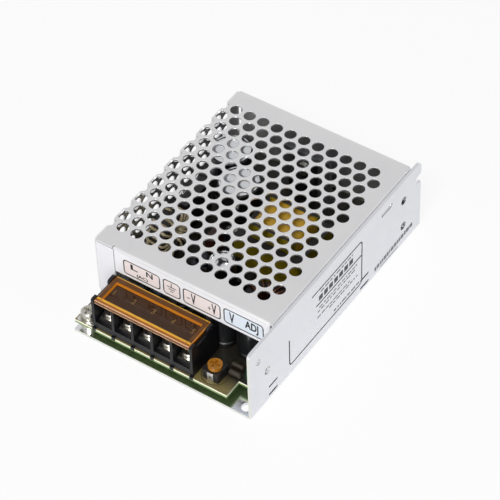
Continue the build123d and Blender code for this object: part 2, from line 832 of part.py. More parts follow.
def ring_core(outer, bore, height):
    """A flat ring with broken edges, standing on z = 0."""
    body = rod(outer, 0, height) - rod(bore, -1, height + 1)
    return chamfer(body.edges().filter_by(GeomType.CIRCLE), 0.6)


def ring_winding(outer, bore, height, gaps):
    """The wire wound on a ring core: a larger ring cut away at the gaps, less the core."""
    body = rod(outer + 2 * wire_bulk, -wire_bulk, height + wire_bulk)
    body = body - rod(bore - 2 * wire_bulk, -wire_bulk - 1, height + wire_bulk + 1)
    body = chamfer(body.edges().filter_by(GeomType.CIRCLE), wire_bulk * 0.8)
    for angle in gaps:
        wedge = Rot(0, 0, angle) * Pos(outer / 2, 0, height / 2) * Box(outer, 3.0, height + 4 * wire_bulk)
        body = body - wedge
    return body - ring_core(outer, bore, height)


def flat_ring_place(place):
    """Where a ring lies flat on the board, its wire touching it."""
    x, y = spot(place)
    return Pos(x, y, board_top + wire_bulk)


def upright_ring_place(place, outer, height):
    """Where a ring stands on edge on the board, its axis along X."""
    x, y = spot(place)
    return Pos(x - height / 2, y, board_top + outer / 2 + wire_bulk) * Rot(0, 90, 0)


def x_capacitor():
    """The boxed mains capacitor."""
    return block_on_board(x_cap_place, x_cap_size, 0.5)


def block_on_board(place, size, round_by):
    """A rounded block standing on the board."""
    x, y = spot(place)
    half_x, half_y = size[0] / 2, size[1] / 2
    body = box((x - half_x, y - half_y, board_top), (x + half_x, y + half_y, board_top + size[2]))
    return fillet(body.edges().filter_by(Axis.Z), round_by)


def disc(diameter, thickness, place):
    """A disc part standing on edge on its two bent leads."""
    x, y = spot(place)
    lift = board_top + 1.5 + diameter / 2
    body = Pos(x, y, lift) * Rot(90, 0, 0) * Cylinder(diameter / 2, thickness)
    body = chamfer(body.edges().filter_by(GeomType.CIRCLE), thickness * 0.3)
    for side in (-1, 1):
        body = body + rod(0.7, board_top, lift, x + side * 2.0, y)
    return body


def fuse_holder():
    """The two clips that the fuse is pressed into."""
    clips = []
    x, y = spot(fuse_place)
    axis = board_top + fuse_lift + fuse_diameter / 2
    outer, mouth = fuse_diameter / 2 + clip_wall, fuse_diameter / 2 - 0.3
    for side in (-1, 1):
        middle = x + side * (fuse_length / 2 - clip_inset)
        low, high = middle - clip_length / 2, middle + clip_length / 2
        clip = box((low, y - outer, board_top), (high, y + outer, axis + 1.2))
        clip = clip - rod_x(fuse_diameter, low - 1, high + 1, y, axis)
        clip = clip - box((low - 1, y - mouth, axis), (high + 1, y + mouth, axis + 3))
        clips.append(clip)
    return Compound(children=clips)


def fuse():
    """The cartridge fuse."""
    x, y = spot(fuse_place)
    half, axis = fuse_length / 2, board_top + fuse_lift + fuse_diameter / 2
    return rod_x(fuse_diameter, x - half, x + half, y, axis)


def resistors():
    """Leaded resistors lying on the board."""
    pieces = []
    axis = board_top + resistor_diameter / 2
    for place in resistor_places:
        x, y = spot(place)
        body = rod_x(resistor_diameter, x - resistor_length / 2, x + resistor_length / 2, y, axis)
        pieces.append(chamfer(body.edges().filter_by(GeomType.CIRCLE), 0.5))
    return Compound(children=pieces)


def film_capacitors():
    """Small dipped film capacitors."""
    return Compound(children=[block_on_board(place, film_cap_size, 1.2) for place in film_cap_places])


def pin_package(place, size, pins):
    """A moulded chip standing on its rows of pins."""
    x, y = spot(place)
    half_x, half_y = size[0] / 2, size[1] / 2
    body = box((x - half_x, y - half_y, board_top + 0.6), (x + half_x, y + half_y, board_top + size[2]))
    pin_top = board_top + size[2] / 2 + 0.3
    for side in (-1, 1):
        ends = sorted((x + side * (half_x - 0.2), x + side * (half_x + 0.5)))
        for k in range(pins):
            pin_at = y + (k - (pins - 1) / 2) * 2.54
            body = body + box((ends[0], pin_at - 0.3, board_top), (ends[1], pin_at + 0.3, pin_top))
    return body


def save(name, shape):
    """Writes one named piece."""
    export_step(shape, f"parts/{name}.step")


def build():
    """Makes and writes every piece."""
    save("chassis", chassis())
    save("cover", cover())
    save("cover_screws", cover_screws())
    save("circuit_board", board())
    save("insulation_sheet", insulation_sheet())
    save("board_standoffs", standoffs())
    save("board_screws", board_screw_set())
    save("board_washers", board_washers())
    save("terminal_body", terminal_body())
    save("terminal_plates", terminal_plates())
    save("terminal_flap", terminal_flap())
    for pole in range(pole_count):
        save(f"wire_clamp_{pole + 1}", clamp(pole))
        save(f"terminal_screw_{pole + 1}", terminal_screw(pole))
    save("trimmer_body", trimmer_body())
    save("trimmer_rotor", trimmer_rotor())
    save("output_led", output_led())
    save("bulk_capacitors", cans(bulk_diameter, bulk_height, bulk_places))
    save("output_capacitors", cans(output_cap_diameter, output_cap_height, output_cap_places))
    save("small_capacitors", cans(small_cap_diameter, small_cap_height, small_cap_places))
    save("transformer_core", transformer_core())
    save("transformer_bobbin", transformer_bobbin())
    save("transformer_winding", transformer_winding())
    sink_x, sink_y = spot(sink_place)
    save("switch_heatsink", heatsink(sink_x, sink_y, sink_width, True))
    save("switch_transistor", tab_case(sink_x, sink_y, True))
    diode_x, diode_y = spot(diode_sink_place)
    save("diode_heatsink", heatsink(diode_x, diode_y, diode_sink_length, False))
    save("output_diode", tab_case(diode_x, diode_y, False))
    sink_screws = [sink_screw(sink_x, sink_y, True), sink_screw(diode_x, diode_y, False)]
    save("heatsink_screws", Compound(children=sink_screws))
    inductor = flat_ring_place(inductor_place)
    save("inductor_core", inductor * ring_core(inductor_diameter, inductor_bore, inductor_height))
    inductor_wire = ring_winding(inductor_diameter, inductor_bore, inductor_height, inductor_gaps)
    save("inductor_winding", inductor * inductor_wire)
    choke = upright_ring_place(choke_place, choke_diameter, choke_height)
    save("choke_core", choke * ring_core(choke_diameter, choke_bore, choke_height))
    choke_wire = ring_winding(choke_diameter, choke_bore, choke_height, choke_gaps)
    save("choke_winding", choke * choke_wire)
    save("x_capacitor", x_capacitor())
    y_caps = [disc(disc_diameter, disc_thickness, place) for place in y_cap_places]
    save("y_capacitors", Compound(children=y_caps))
    save("thermistor", disc(thermistor_diameter, disc_thickness, thermistor_place))
    save("varistor", disc(disc_diameter, disc_thickness, varistor_place))
    save("fuse", fuse())
    save("fuse_clips", fuse_holder())
    save("bridge_rectifier", block_on_board(bridge_place, bridge_size, 0.6))
    save("film_capacitors", film_capacitors())
    save("resistors", resistors())
    save("controller_chip", pin_package(chip_place, chip_size, chip_pins))
    save("optocoupler", pin_package(coupler_place, coupler_size, coupler_pins))


build()
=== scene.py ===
"""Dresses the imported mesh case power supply, lights it and sets its camera."""
from functools import partial
from math import pi, radians

import bmesh
import bpy
import numpy as np
from mathutils import Matrix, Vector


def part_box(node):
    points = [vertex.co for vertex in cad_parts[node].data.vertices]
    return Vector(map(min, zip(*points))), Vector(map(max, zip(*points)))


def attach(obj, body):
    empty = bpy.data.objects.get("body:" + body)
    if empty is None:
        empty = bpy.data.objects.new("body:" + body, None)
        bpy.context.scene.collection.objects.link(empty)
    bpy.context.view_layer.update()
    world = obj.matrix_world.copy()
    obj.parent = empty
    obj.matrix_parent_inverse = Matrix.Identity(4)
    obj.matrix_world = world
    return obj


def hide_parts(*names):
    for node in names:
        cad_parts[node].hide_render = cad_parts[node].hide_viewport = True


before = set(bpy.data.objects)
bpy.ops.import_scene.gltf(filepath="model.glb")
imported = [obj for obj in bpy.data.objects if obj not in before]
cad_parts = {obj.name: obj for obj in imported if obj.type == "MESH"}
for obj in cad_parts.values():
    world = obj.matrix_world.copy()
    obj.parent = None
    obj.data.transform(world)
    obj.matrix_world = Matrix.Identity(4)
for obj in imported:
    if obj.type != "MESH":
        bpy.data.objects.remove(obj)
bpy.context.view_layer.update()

# Sizes in millimetres. Places closer together than NEAR count as one.
MM = 0.001
SHEET = 0.8
BEND = 1.2
PANEL_SHEET = 1.2
SEAM = 0.1
PRINT = 0.03
NEAR = 0.01

# Perforation on the cover's flat blank, from its right edge and its middle row
HOLE_RADIUS = 2.3
PITCH = 6.05
ROW_PITCH = 5.12
ROWS = 15
COLUMNS = 15
EDGE_TO_HOLE = 7.3
CELL_STEPS = 12
ROW_STEPS = 6
RING_SHARES = (0.0, 0.45, 1.0)

# Edges of the cover
LIP_DROP = 12.0
BACK_DROP = 31.8
FLANGE_DROP = 5.0
FLANGE_RELIEF = 3.0
TAB_WIDTH = 8.6
LIP_LEFT = 67.8
TAB_LOW = 7.4
TAB_LINES = 5
FOOT_LINES = 8
SEAT_RADIUS = 2.85
SEAT_Z = 6.8
SEAT_PLACES = (-22.0, 19.0)
BROKEN_EDGE = 0.12
BEND_ANGLES = np.linspace(0, pi / 2, 6)

# The tongue's middle in Y and Z, its length and its thickness, and how far under the panel's outer
# face its edge breaks and its end lies. The taper is the end's size, the plate hangs from under the top.
TONGUE = (32.6, 28.7, 7.0, 1.6)
TONGUE_DEPTHS = (0.4, 0.3)
TONGUE_POINTS = 24
TONGUE_TAPER = 0.94
TONGUE_PLATE_LOW = 1.0
TONGUE_PLATE_HIGH = 4.0
TONGUE_PLATE_END = 0.4

# Terminals and their flap
POLES = 5
POLE_PITCH = 8.5
BARRIER = 1.2
FLAP_INSET = 1.0
FLAP_RIM = 1.8
FLAP_FRONT_RIM = 2.1
# The width of the band of painted glow behind the front rim
FLAP_PAINTED_GLOW = 0.9
FLAP_BACK_RIB = 2.6
FLAP_WALL = 0.35
FLAP_DEPTH = 1.0
FLAP_LIP_DROP = 1.3
FLAP_EDGE = 0.3
FLAP_FRONT_EDGE = 0.22
FLAP_BACK_EDGE = 0.55
FLAP_EDGE_DROP = 0.25
FLAP_MARGIN = 4.0
FLAP_BANDS = (0, 0.16, 0.72, 1.0)
PIN_RADIUS = 0.75
PIN_LENGTH = 1.6
PIN_FROM_BACK = 2.1

# Prints on the front lip, as left, right, low and high edges
TERMINAL_BOXES = ((-26.2, -10.1, 23.3, 30.6), (-8.9, -1.4, 23.3, 30.8), (-0.3, 15.8, 23.3, 30.9))
ADJUSTER_BOX = (17.0, 33.9, 23.5, 31.0)
BOX_RADIUS = 1.5
BOX_LINE = 0.48
MARKS = (
    ("L", -23.0, -19.9, 26.9, 29.6), ("N", -16.2, -13.3, 26.9, 29.6), ("(AC)", -20.5, -15.6, 23.9, 25.8),
    ("V", 3.1, 5.2, 24.5, 29.8), ("V", 11.9, 14.0, 24.5, 29.8), ("V", 19.4, 21.6, 24.5, 29.8),
    ("ADJ", 26.0, 31.7, 24.6, 29.8),
)
EARTH_SIGN = ((-5.4, -5.05, 27.9, 29.9), (-7.2, -3.2, 27.5, 27.9), (-6.5, -3.9, 26.4, 26.8),
              (-5.9, -4.5, 25.3, 25.7))
MINUS_SIGN = ((1.4, 2.7, 26.5, 26.9),)
PLUS_SIGN = ((10.3, 11.6, 26.5, 26.9), (10.8, 11.1, 25.7, 27.7))

# How much bolder than the font the letters are, as a share of its size
LETTER_SWELL = 0.03

# Prints on the side panel. The frame and the rule as edges, the rows as start, end, level and height
RATING_FRAME = (-32.0, 15.9, 5.4, 28.0)
RATING_RADIUS = 1.8
RATING_LINE = 0.58
RATING_GAP = (-17.0, 19.0)
RATING_RULE = (-14.4, 15.7, 20.2, 20.2 + RATING_LINE)
RATING_ROWS = ((-11.5, 9.5, 25.6, 0.7), (-12.5, 12.5, 18.0, 0.6), (-13.5, 11.0, 16.4, 0.6),
               (-13.8, 8.5, 13.6, 0.6), (-6.0, 12.8, 12.0, 0.6), (-3.0, 13.8, 7.2, 0.8))
BOLD_BARS = 7
BOLD_START = (-12.6, -10.2)
BOLD_PITCH = 3.3
BOLD_LEVELS = (21.9, 24.3)
SERIAL_STRIP = (24.5, 50.0, 3.3, 5.2)
SERIAL_SLOPE = 0.066
SERIAL_LINE = (28.5, 40.5, 2.2, 2.55)
BAR_SEED = 7

# Pattern sizes in millimetres. Those called coarse are too fine to show on the real thing, and are
# drawn as coarse as they need to show.
ROLLING_STREAK = 0.5  # coarse, since rolling lines are about 0.05 apart
STREAK_SQUEEZE = 0.025  # a streak is forty times as long as it is wide
HANDLING_CLOUD = 14
MOULD_GRAIN = 0.4  # coarse, since a spark-eroded mould's grain is about 0.05
TINT_CLOUD = 5
HANDLING_MARK = 0.4  # coarse, since fine scratches are about 0.02 wide
PAPER_FIBRE = 1.6
SLEEVE_STRIPE = 9
STRIPE_SQUEEZE = 0.02  # a stripe runs down the whole can
STRIPE_FROM = 0.62  # the noise above which the sleeve is grey
TAPE_TURN = 1.1
TURN_SQUEEZE = 0.03  # a turn's edge runs right across the winding
FERRITE_SPECKLE = 0.3  # coarse, since ferrite's grains are about 0.02
TAPE_SPECKLE = 0.6  # coarse, since the glue's mottling under the tape is about 0.1
WIRE_CLOUD = 2
INK_GRAIN = 0.2  # coarse, since the screen's threads are about 0.08 apart
PAPER_CLOUD = 40

# The board's top keeps its tan in front of the first place along Y and is painted dark behind the second, a
# painted shade under the cover, and its cut
# # edge is green below this depth under the board's top
UNSHADED_TO = -53.5
FULL_SHADE_FROM = -47.5
MASK_EDGE = 0.8


def corners_mm(node):
    """A CAD node's lowest and highest corners, in millimetres."""
    low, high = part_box(node)
    return np.array(low) / MM, np.array(high) / MM


cover_low, cover_high = corners_mm("cover")
board_low, board_high = corners_mm("circuit_board")
block_low, block_high = corners_mm("terminal_body")
flap_low, flap_high = corners_mm("terminal_flap")
TOP = cover_high[2]
LEFT = cover_low[0]
FRONT = cover_low[1]
BACK = cover_high[1]
FLOOR_GAP = cover_low[2]
PANEL = corners_mm("chassis")[1][0]
RIGHT = PANEL - PANEL_SHEET - SEAM
FLAT_FRONT = FRONT + BEND
FLAT_BACK = BACK - BEND
BEND_START = RIGHT - LEFT - BEND
BEND_ARC = (BEND - SHEET / 2) * pi / 2
WALL_START = BEND_START + BEND_ARC
BOARD_TOP = board_high[2]


# Materials. Sockets are numbered where a node's names repeat. A colour Mix takes its share at 0 and
# its two colours at 6 and 7. A Map Range takes its value at 0 and turns the span from 1 to 2 into the
# span from 3 to 4. Noise lies mostly between 0.3 and 0.7, so its spans start from those.

def linear(code):
    """The linear colour of an sRGB hex code such as "#C8C9CC"."""
    parts = np.array([int(code[k:k + 2], 16) for k in (1, 3, 5)]) / 255
    curve = np.where(parts <= 0.04045, parts / 12.92, ((parts + 0.055) / 1.055) ** 2.4)
    return (*curve, 1.0)


def per_mm(size):
    """The scale at which a texture's grains are this many millimetres across."""
    return 1 / (size * MM)


def add_node(tree, kind, inputs=(), **settings):
    """Adds a shader node. settings are its properties, inputs maps its sockets to values, hex colours
    or outputs of other nodes."""
    node = tree.nodes.new("ShaderNode" + kind)
    for name, value in settings.items():
        setattr(node, name, value)
    for name, value in dict(inputs).items():
        if isinstance(value, bpy.types.NodeSocket):
            tree.links.new(value, node.inputs[name])
        else:
            node.inputs[name].default_value = linear(value) if isinstance(value, str) else value
    return node


def new_finish(name):
    """An empty material, the function that adds its nodes, and its Object coordinates."""
    finish = bpy.data.materials.new(name)
    finish.use_nodes = True
    finish.node_tree.nodes.clear()
    add = partial(add_node, finish.node_tree)
    return finish, add, add("TexCoord").outputs["Object"]


def rolled_sheet(name, light, dark, low, high):
    """What rolled sheets share: a clouded tint, and faint streaks along Y in its sheen and relief."""
    finish, add, place = new_finish(name)
    along = add("Mapping", {"Vector": place, "Scale": (1, STREAK_SQUEEZE, 1)}).outputs[0]
    streaks = add("TexNoise", {"Vector": along, "Scale": per_mm(ROLLING_STREAK), "Detail": 4.0}).outputs[0]
    cloud = add("TexNoise", {"Vector": place, "Scale": per_mm(HANDLING_CLOUD), "Detail": 3.0}).outputs[0]
    tint = add("Mix", {0: cloud, 6: dark, 7: light}, data_type="RGBA").outputs[2]
    sheen = add("MapRange", {0: streaks, 1: 0.3, 2: 0.7, 3: low, 4: high}).outputs[0]
    relief = add("Bump", {"Height": streaks, "Distance": 0.004 * MM}).outputs[0]
    return finish, add, tint, sheen, relief


def sheet_metal(name, light, dark, low, high):
    """Rolled or extruded metal: bright and a little hazy, with faint rolling streaks along Y."""
    finish, add, tint, sheen, relief = rolled_sheet(name, light, dark, low, high)
    surface = add("BsdfPrincipled", {
        "Base Color": tint, "Roughness": sheen, "Metallic": 0.85, "Normal": relief})
    add("OutputMaterial", {"Surface": surface.outputs[0]})
    return finish


def folded_aluminium():
    """The chassis sheet: rolled aluminium that is smoother on its upper faces, where it mirrors what
    stands over it, and duller and greenish white on the sheared edges at its front and back."""
    finish, add, tint, sheen, relief = rolled_sheet("folded_aluminium", "#E6E7EC", "#DCDEE3", 0.30, 0.42)
    normal = add("NewGeometry").outputs["Normal"]
    facing = add("SeparateXYZ", {"Vector": normal}).outputs
    size = add("Math", {0: facing["Y"]}, operation="ABSOLUTE").outputs[0]
    sheared = add("Math", {0: size, 1: 0.9}, operation="GREATER_THAN").outputs[0]
    edge = add("Mix", {0: sheared, 6: tint, 7: "#DCDDD8"}, data_type="RGBA").outputs[2]
    dull = add("Math", {0: sheared, 1: 0.2, 2: sheen}, operation="MULTIPLY_ADD").outputs[0]
    clean = add("MapRange", {0: facing["Z"], 1: 0.4, 2: 0.6, 3: 0.85, 4: 1.0}).outputs[0]
    flat = add("Math", {0: facing["Z"], 1: 0.5}, operation="GREATER_THAN").outputs[0]
    haze = add("Math", {0: flat, 1: -0.17, 2: dull}, operation="MULTIPLY_ADD").outputs[0]
    surface = add("BsdfPrincipled", {
        "Base Color": edge, "Roughness": haze, "Metallic": clean, "Normal": relief})
    add("OutputMaterial", {"Surface": surface.outputs[0]})
    return finish


def grained(name, colour, roughness, grain, detail, depth, sockets):
    """A plain colour with one fine grain in its relief and in its roughness, which runs between two
    values."""
    finish, add, place = new_finish(name)
    noise = add("TexNoise", {"Vector": place, "Scale": per_mm(grain), "Detail": detail}).outputs[0]
    sheen = add("MapRange", {0: noise, 1: 0.3, 2: 0.7, 3: roughness[0], 4: roughness[1]}).outputs[0]
    relief = add("Bump", {"Height": noise, "Distance": depth * MM}).outputs[0]
    surface = add("BsdfPrincipled", {"Base Color": colour, "Roughness": sheen, "Normal": relief, **sockets})
    add("OutputMaterial", {"Surface": surface.outputs[0]})
    return finish


def clouded(name, light, dark, size, detail, sockets):
    """A smooth surface whose tint drifts between two colours in clouds of the given size."""
    finish, add, place = new_finish(name)
    cloud = add("TexNoise", {"Vector": place, "Scale": per_mm(size), "Detail": detail}).outputs[0]
    tint = add("Mix", {0: cloud, 6: dark, 7: light}, data_type="RGBA").outputs[2]
    surface = add("BsdfPrincipled", {"Base Color": tint, **sockets})
    add("OutputMaterial", {"Surface": surface.outputs[0]})
    return finish


def moulded(name, colour, roughness, grain=MOULD_GRAIN, gloss=0.5):
    """A moulded plastic, dipped coating or lacquer with a fine grain."""
    return grained(name, colour, (roughness - 0.06, roughness + 0.08), grain, 2.0, 0.006,
                   {"Specular IOR Level": gloss})


def clear_moulding(name, light, dark, clearness, roughness, gloss=0.5):
    """A clear tinted moulding or glass: glossy, its tint a little cloudy, with an IOR of 1.5."""
    return clouded(name, light, dark, TINT_CLOUD, 2.0, {
        "Roughness": roughness, "IOR": 1.5, "Specular IOR Level": gloss, "Transmission Weight": clearness})


def plated(name, colour, roughness):
    """Plated or tinned metal: bright, with fine marks of handling."""
    return grained(name, colour, (roughness - 0.06, roughness + 0.10), HANDLING_MARK, 4.0, 0.004,
                   {"Metallic": 1.0})


def phenolic_laminate():
    """Circuit board: tan phenolic paper above, painted dark under the cover as painted shade, olive solder
    mask underneath, and a cut edge that is cream above and green below."""
    finish, add, place = new_finish("phenolic_laminate")
    paper = add("TexNoise", {"Vector": place, "Scale": per_mm(PAPER_FIBRE), "Detail": 4.0}).outputs[0]
    tan = add("Mix", {0: paper, 6: "#6E6236", 7: "#85784A"}, data_type="RGBA")
    depth = add("SeparateXYZ", {"Vector": place}).outputs["Y"]
    # Painted shade: the top turns from tan to near black along Y, under the cover.
    painted_shade = add("MapRange", {0: depth, 1: UNSHADED_TO * MM, 2: FULL_SHADE_FROM * MM, 3: 0.0, 4: 1.0}).outputs[0]
    top = add("Mix", {0: painted_shade, 6: tan.outputs[2], 7: "#1E1B12"}, data_type="RGBA")
    normal = add("NewGeometry").outputs["Normal"]
    facing = add("SeparateXYZ", {"Vector": normal}).outputs["Z"]
    upward = add("Math", {0: facing, 1: 0.5}, operation="GREATER_THAN").outputs[0]
    downward = add("Math", {0: facing, 1: -0.5}, operation="LESS_THAN").outputs[0]
    level = add("SeparateXYZ", {"Vector": place}).outputs["Z"]
    lower = add("Math", {0: level, 1: (BOARD_TOP - MASK_EDGE) * MM}, operation="LESS_THAN").outputs[0]
    edge = add("Mix", {0: lower, 6: "#EDECD6", 7: "#6E8C4A"}, data_type="RGBA").outputs[2]
    side = add("Mix", {0: downward, 6: edge, 7: "#647C44"}, data_type="RGBA").outputs[2]
    colour = add("Mix", {0: upward, 6: side, 7: top.outputs[2]}, data_type="RGBA").outputs[2]
    surface = add("BsdfPrincipled", {"Base Color": colour, "Roughness": 0.45, "Coat Weight": 0.2})
    add("OutputMaterial", {"Surface": surface.outputs[0]})
    return finish


def capacitor_can():
    """A sleeved can: bare aluminium on its sunk top, black shrink sleeve with a grey stripe
    elsewhere."""
    finish, add, place = new_finish("black_sleeve")
    normal = add("NewGeometry").outputs["Normal"]
    facing = add("SeparateXYZ", {"Vector": normal}).outputs["Z"]
    top = add("Math", {0: facing, 1: 0.9}, operation="GREATER_THAN").outputs[0]
    upright = add("Mapping", {"Vector": place, "Scale": (1, 1, STRIPE_SQUEEZE)}).outputs[0]
    band = add("TexNoise", {"Vector": upright, "Scale": per_mm(SLEEVE_STRIPE), "Detail": 0.0}).outputs[0]
    stripe = add("Math", {0: band, 1: STRIPE_FROM}, operation="GREATER_THAN").outputs[0]
    sleeve = add("Mix", {0: stripe, 6: "#131416", 7: "#7C7D7E"}, data_type="RGBA").outputs[2]
    colour = add("Mix", {0: top, 6: sleeve, 7: "#D4D6D9"}, data_type="RGBA").outputs[2]
    sheen = add("MapRange", {0: top, 1: 0, 2: 1, 3: 0.32, 4: 0.10}).outputs[0]
    surface = add("BsdfPrincipled", {"Base Color": colour, "Roughness": sheen, "Metallic": top})
    add("OutputMaterial", {"Surface": surface.outputs[0]})
    return finish


def polyester_tape():
    """Yellow polyester winding tape: glossy, with the faint edges of its turns along Y."""
    finish, add, place = new_finish("polyester_tape")
    across = add("Mapping", {"Vector": place, "Scale": (TURN_SQUEEZE, 1, TURN_SQUEEZE)}).outputs[0]
    turns = add("TexNoise", {"Vector": across, "Scale": per_mm(TAPE_TURN), "Detail": 2.0}).outputs[0]
    tint = add("Mix", {0: turns, 6: "#AE860C", 7: "#CCA21C"}, data_type="RGBA")
    relief = add("Bump", {"Height": turns, "Distance": 0.03 * MM})
    surface = add("BsdfPrincipled", {
        "Base Color": tint.outputs[2], "Roughness": 0.3, "Coat Weight": 0.1,
        "Normal": relief.outputs[0]})
    add("OutputMaterial", {"Surface": surface.outputs[0]})
    return finish


def pressed_ferrite():
    """Pressed and ground ferrite: near black, matt, slightly speckled."""
    return clouded("pressed_ferrite", "#353333", "#1E1D1D", FERRITE_SPECKLE, 3.0, {"Roughness": 0.6})


def taped_sides(name, top_colour):
    """Black on top, and yellow winding tape round the upright faces, as it holds core and former
    together. The upright tape is painted a darker olive than the winding's tape, as painted shade."""
    finish, add, place = new_finish(name)
    speckle = add("TexNoise", {"Vector": place, "Scale": per_mm(TAPE_SPECKLE), "Detail": 3.0}).outputs[0]
    # Painted shade: the upright faces' tape is darker olive than the winding's tape.
    shaded_tape = add("Mix", {0: speckle, 6: "#75660C", 7: "#968314"}, data_type="RGBA")
    normal = add("NewGeometry").outputs["Normal"]
    facing = add("SeparateXYZ", {"Vector": normal}).outputs["Z"]
    upward = add("Math", {0: facing, 1: 0.5}, operation="GREATER_THAN").outputs[0]
    tint = add("Mix", {0: upward, 6: shaded_tape.outputs[2], 7: top_colour}, data_type="RGBA")
    sheen = add("MapRange", {0: upward, 1: 0, 2: 1, 3: 0.28, 4: 0.55})
    surface = add("BsdfPrincipled", {"Base Color": tint.outputs[2], "Roughness": sheen.outputs[0]})
    add("OutputMaterial", {"Surface": surface.outputs[0]})
    return finish


def enamelled_wire(name, light, dark, metal):
    """Enamelled winding wire: glossy, its colour a little uneven from turn to turn."""
    return clouded(name, light, dark, WIRE_CLOUD, 2.0,
                   {"Roughness": 0.25, "Metallic": metal, "Coat Weight": 0.5})


def printed_ink(name, colour):
    """Screen-printed ink: flat and matt, a little uneven."""
    finish, add, place = new_finish(name)
    noise = add("TexNoise", {"Vector": place, "Scale": per_mm(INK_GRAIN), "Detail": 2.0}).outputs[0]
    sheen = add("MapRange", {0: noise, 1: 0.3, 2: 0.7, 3: 0.5, 4: 0.7})
    surface = add("BsdfPrincipled", {"Base Color": colour, "Roughness": sheen.outputs[0]})
    add("OutputMaterial", {"Surface": surface.outputs[0]})
    return finish


# Rolled aluminium sheet of the cover: pale grey and hazy, so the top reads as one soft tone.
cover_aluminium = sheet_metal("cover_aluminium", "#E8E8E9", "#DEDEE0", 0.30, 0.42)
# Under the lip's prints, the cover's front faces get a pale finish, satin and even and lighter than the
# bare sheet above: a painted reflection in place of the sheet's mirror.
lip_painted_pale = moulded("lip_painted_pale", "#E9E9ED", 0.42, grain=0.6)
# Folded aluminium of the base and side panel: bright outside, near a mirror under the board.
chassis_aluminium = folded_aluminium()
# Extruded aluminium of the heatsinks: darker and duller than rolled sheet.
sink_aluminium = sheet_metal("sink_aluminium", "#9EA0A4", "#8A8C90", 0.34, 0.48)
# Moulded phenolic of the terminal block: near black with little shine.
phenolic = moulded("black_phenolic", "#0E0E12", 0.38, grain=0.35, gloss=0.3)
# Clear amber polycarbonate of the flap, thin in its window: painted dark brown over the black block, a
# painted shade.
amber_shaded_window = clear_moulding("amber_shaded_window", "#643A05", "#502E04", 0.6, 0.08, gloss=0.08)
# The same moulding where its front rim is thick: clear orange.
amber_rim = clear_moulding("amber_rim", "#C9760C", "#B46406", 0.3, 0.14)
# Painted glow on edges, standing in for the light which travels inside the moulding: bright yellow lines.
amber_painted_glow = clear_moulding("amber_painted_glow", "#FFC63A", "#F5B024", 0.1, 0.2)
# Painted highlight on the outermost front edge, where the lamps light it from outside: a pale line.
amber_painted_highlight = clear_moulding("amber_painted_highlight", "#F2C49A", "#E0A878", 0.1, 0.25)
# The rims at the sides and the back, and the outer walls: clear brown.
amber_brown = clear_moulding("amber_brown", "#84500A", "#6E3F06", 0.4, 0.12, gloss=0.3)
# Painted highlight on the sloping walls round the window and the outer side edges: narrow lines of orange.
amber_painted_orange = clear_moulding("amber_painted_orange", "#E58E1E", "#CF7A10", 0.2, 0.16)
# Nickel plate of plates, clamps, clips and standoffs: bright and a little warm.
nickel = plated("nickel_plate", "#D2CFC6", 0.26)
# Zinc-plated steel of the screws and washers: greyer and hazier than nickel.
zinc = plated("zinc_steel", "#BDBBB2", 0.30)
# Tinned copper of the adjuster's strap and the ground pad: soft and silvery.
solder = plated("tinned_copper", "#D5D6D6", 0.32)
# Phenolic paper laminate: satin tan where it is seen in the open front, and painted dark further in, a
# painted shade under the cover.
laminate = phenolic_laminate()
# Polyester tape round the transformer's winding: glossy amber yellow.
tape = polyester_tape()
# Bare ferrite of the ring cores: near black.
core_ferrite = pressed_ferrite()
# Ferrite core and black former with tape round their sides: black on their upward faces, and tape painted
# darker olive on the upright faces as painted shade. black from above, yellow at a slant.
taped_ferrite = taped_sides("taped_ferrite", "#262525")
taped_former = taped_sides("taped_former", "#161617")
# Enamelled copper of the output inductor: dark reddish brown with a metal's shine.
copper = enamelled_wire("enamelled_copper", "#6E3A1C", "#542C16", 0.6)
# Polyester-served wire of the mains choke: light beige without a metal's shine.
beige_wire = enamelled_wire("beige_wire", "#D9C9A2", "#BFAE86", 0.0)
# Moulded epoxy of chips, rectifier, transistor, thermistor and the adjuster: satin black.
black_epoxy = moulded("black_epoxy", "#161617", 0.4)
# Translucent nylon of the adjuster's rotor: warm orange, lighter where it is thin.
orange_nylon = clear_moulding("orange_nylon", "#CE8A24", "#A4660E", 0.2, 0.22)
# Tinted epoxy of the lamp's lens: half clear green.
green_lens = clear_moulding("green_lens", "#1E7A46", "#12532F", 0.5, 0.12)
# Polyester film of the insulation sheet: smooth greenish grey.
film_sheet = moulded("polyester_film", "#8E9288", 0.3)
# Potted case of the mains capacitor: dull yellow, painted dark as painted shade under the cover.
potted_yellow_shaded = moulded("potted_yellow_shaded", "#6E5A22", 0.35)
# Dipped epoxy of the discs: glossy dark blue.
dipped_blue = moulded("dipped_blue", "#101A28", 0.3)
# Dipped epoxy of the film capacitors: glossy dark red brown.
dipped_red = moulded("dipped_red", "#3E1F18", 0.3)
# Lacquer of the resistors: satin, painted dark brown as painted shade under the cover.
lacquer_shaded_brown = moulded("lacquer_shaded_brown", "#2E261B", 0.4)
# Glass tube of the fuse: half clear, grey over the dark board.
fuse_glass = clear_moulding("fuse_glass", "#4A524E", "#3A403D", 0.5, 0.08)
# Shrink sleeve and bare aluminium of the capacitors: black sides and bright round tops.
sleeved_can = capacitor_can()
# Screen-printed inks: black for marks and frame, greys for the plain bars, and the pale tints.
print_black = printed_ink("print_black", "#0C0C0E")
print_dark = printed_ink("print_dark", "#3E4044")
print_grey = printed_ink("print_grey", "#74767C")
print_pink = printed_ink("print_pink", "#EBE0DE")
print_blue = printed_ink("print_blue", "#DCE4EE")
# The board's brown legend ink, and the faint straw colour of the numbers moulded in the flap.
print_brown = printed_ink("print_brown", "#3A2E1C")
print_straw = printed_ink("print_straw", "#6A5022")

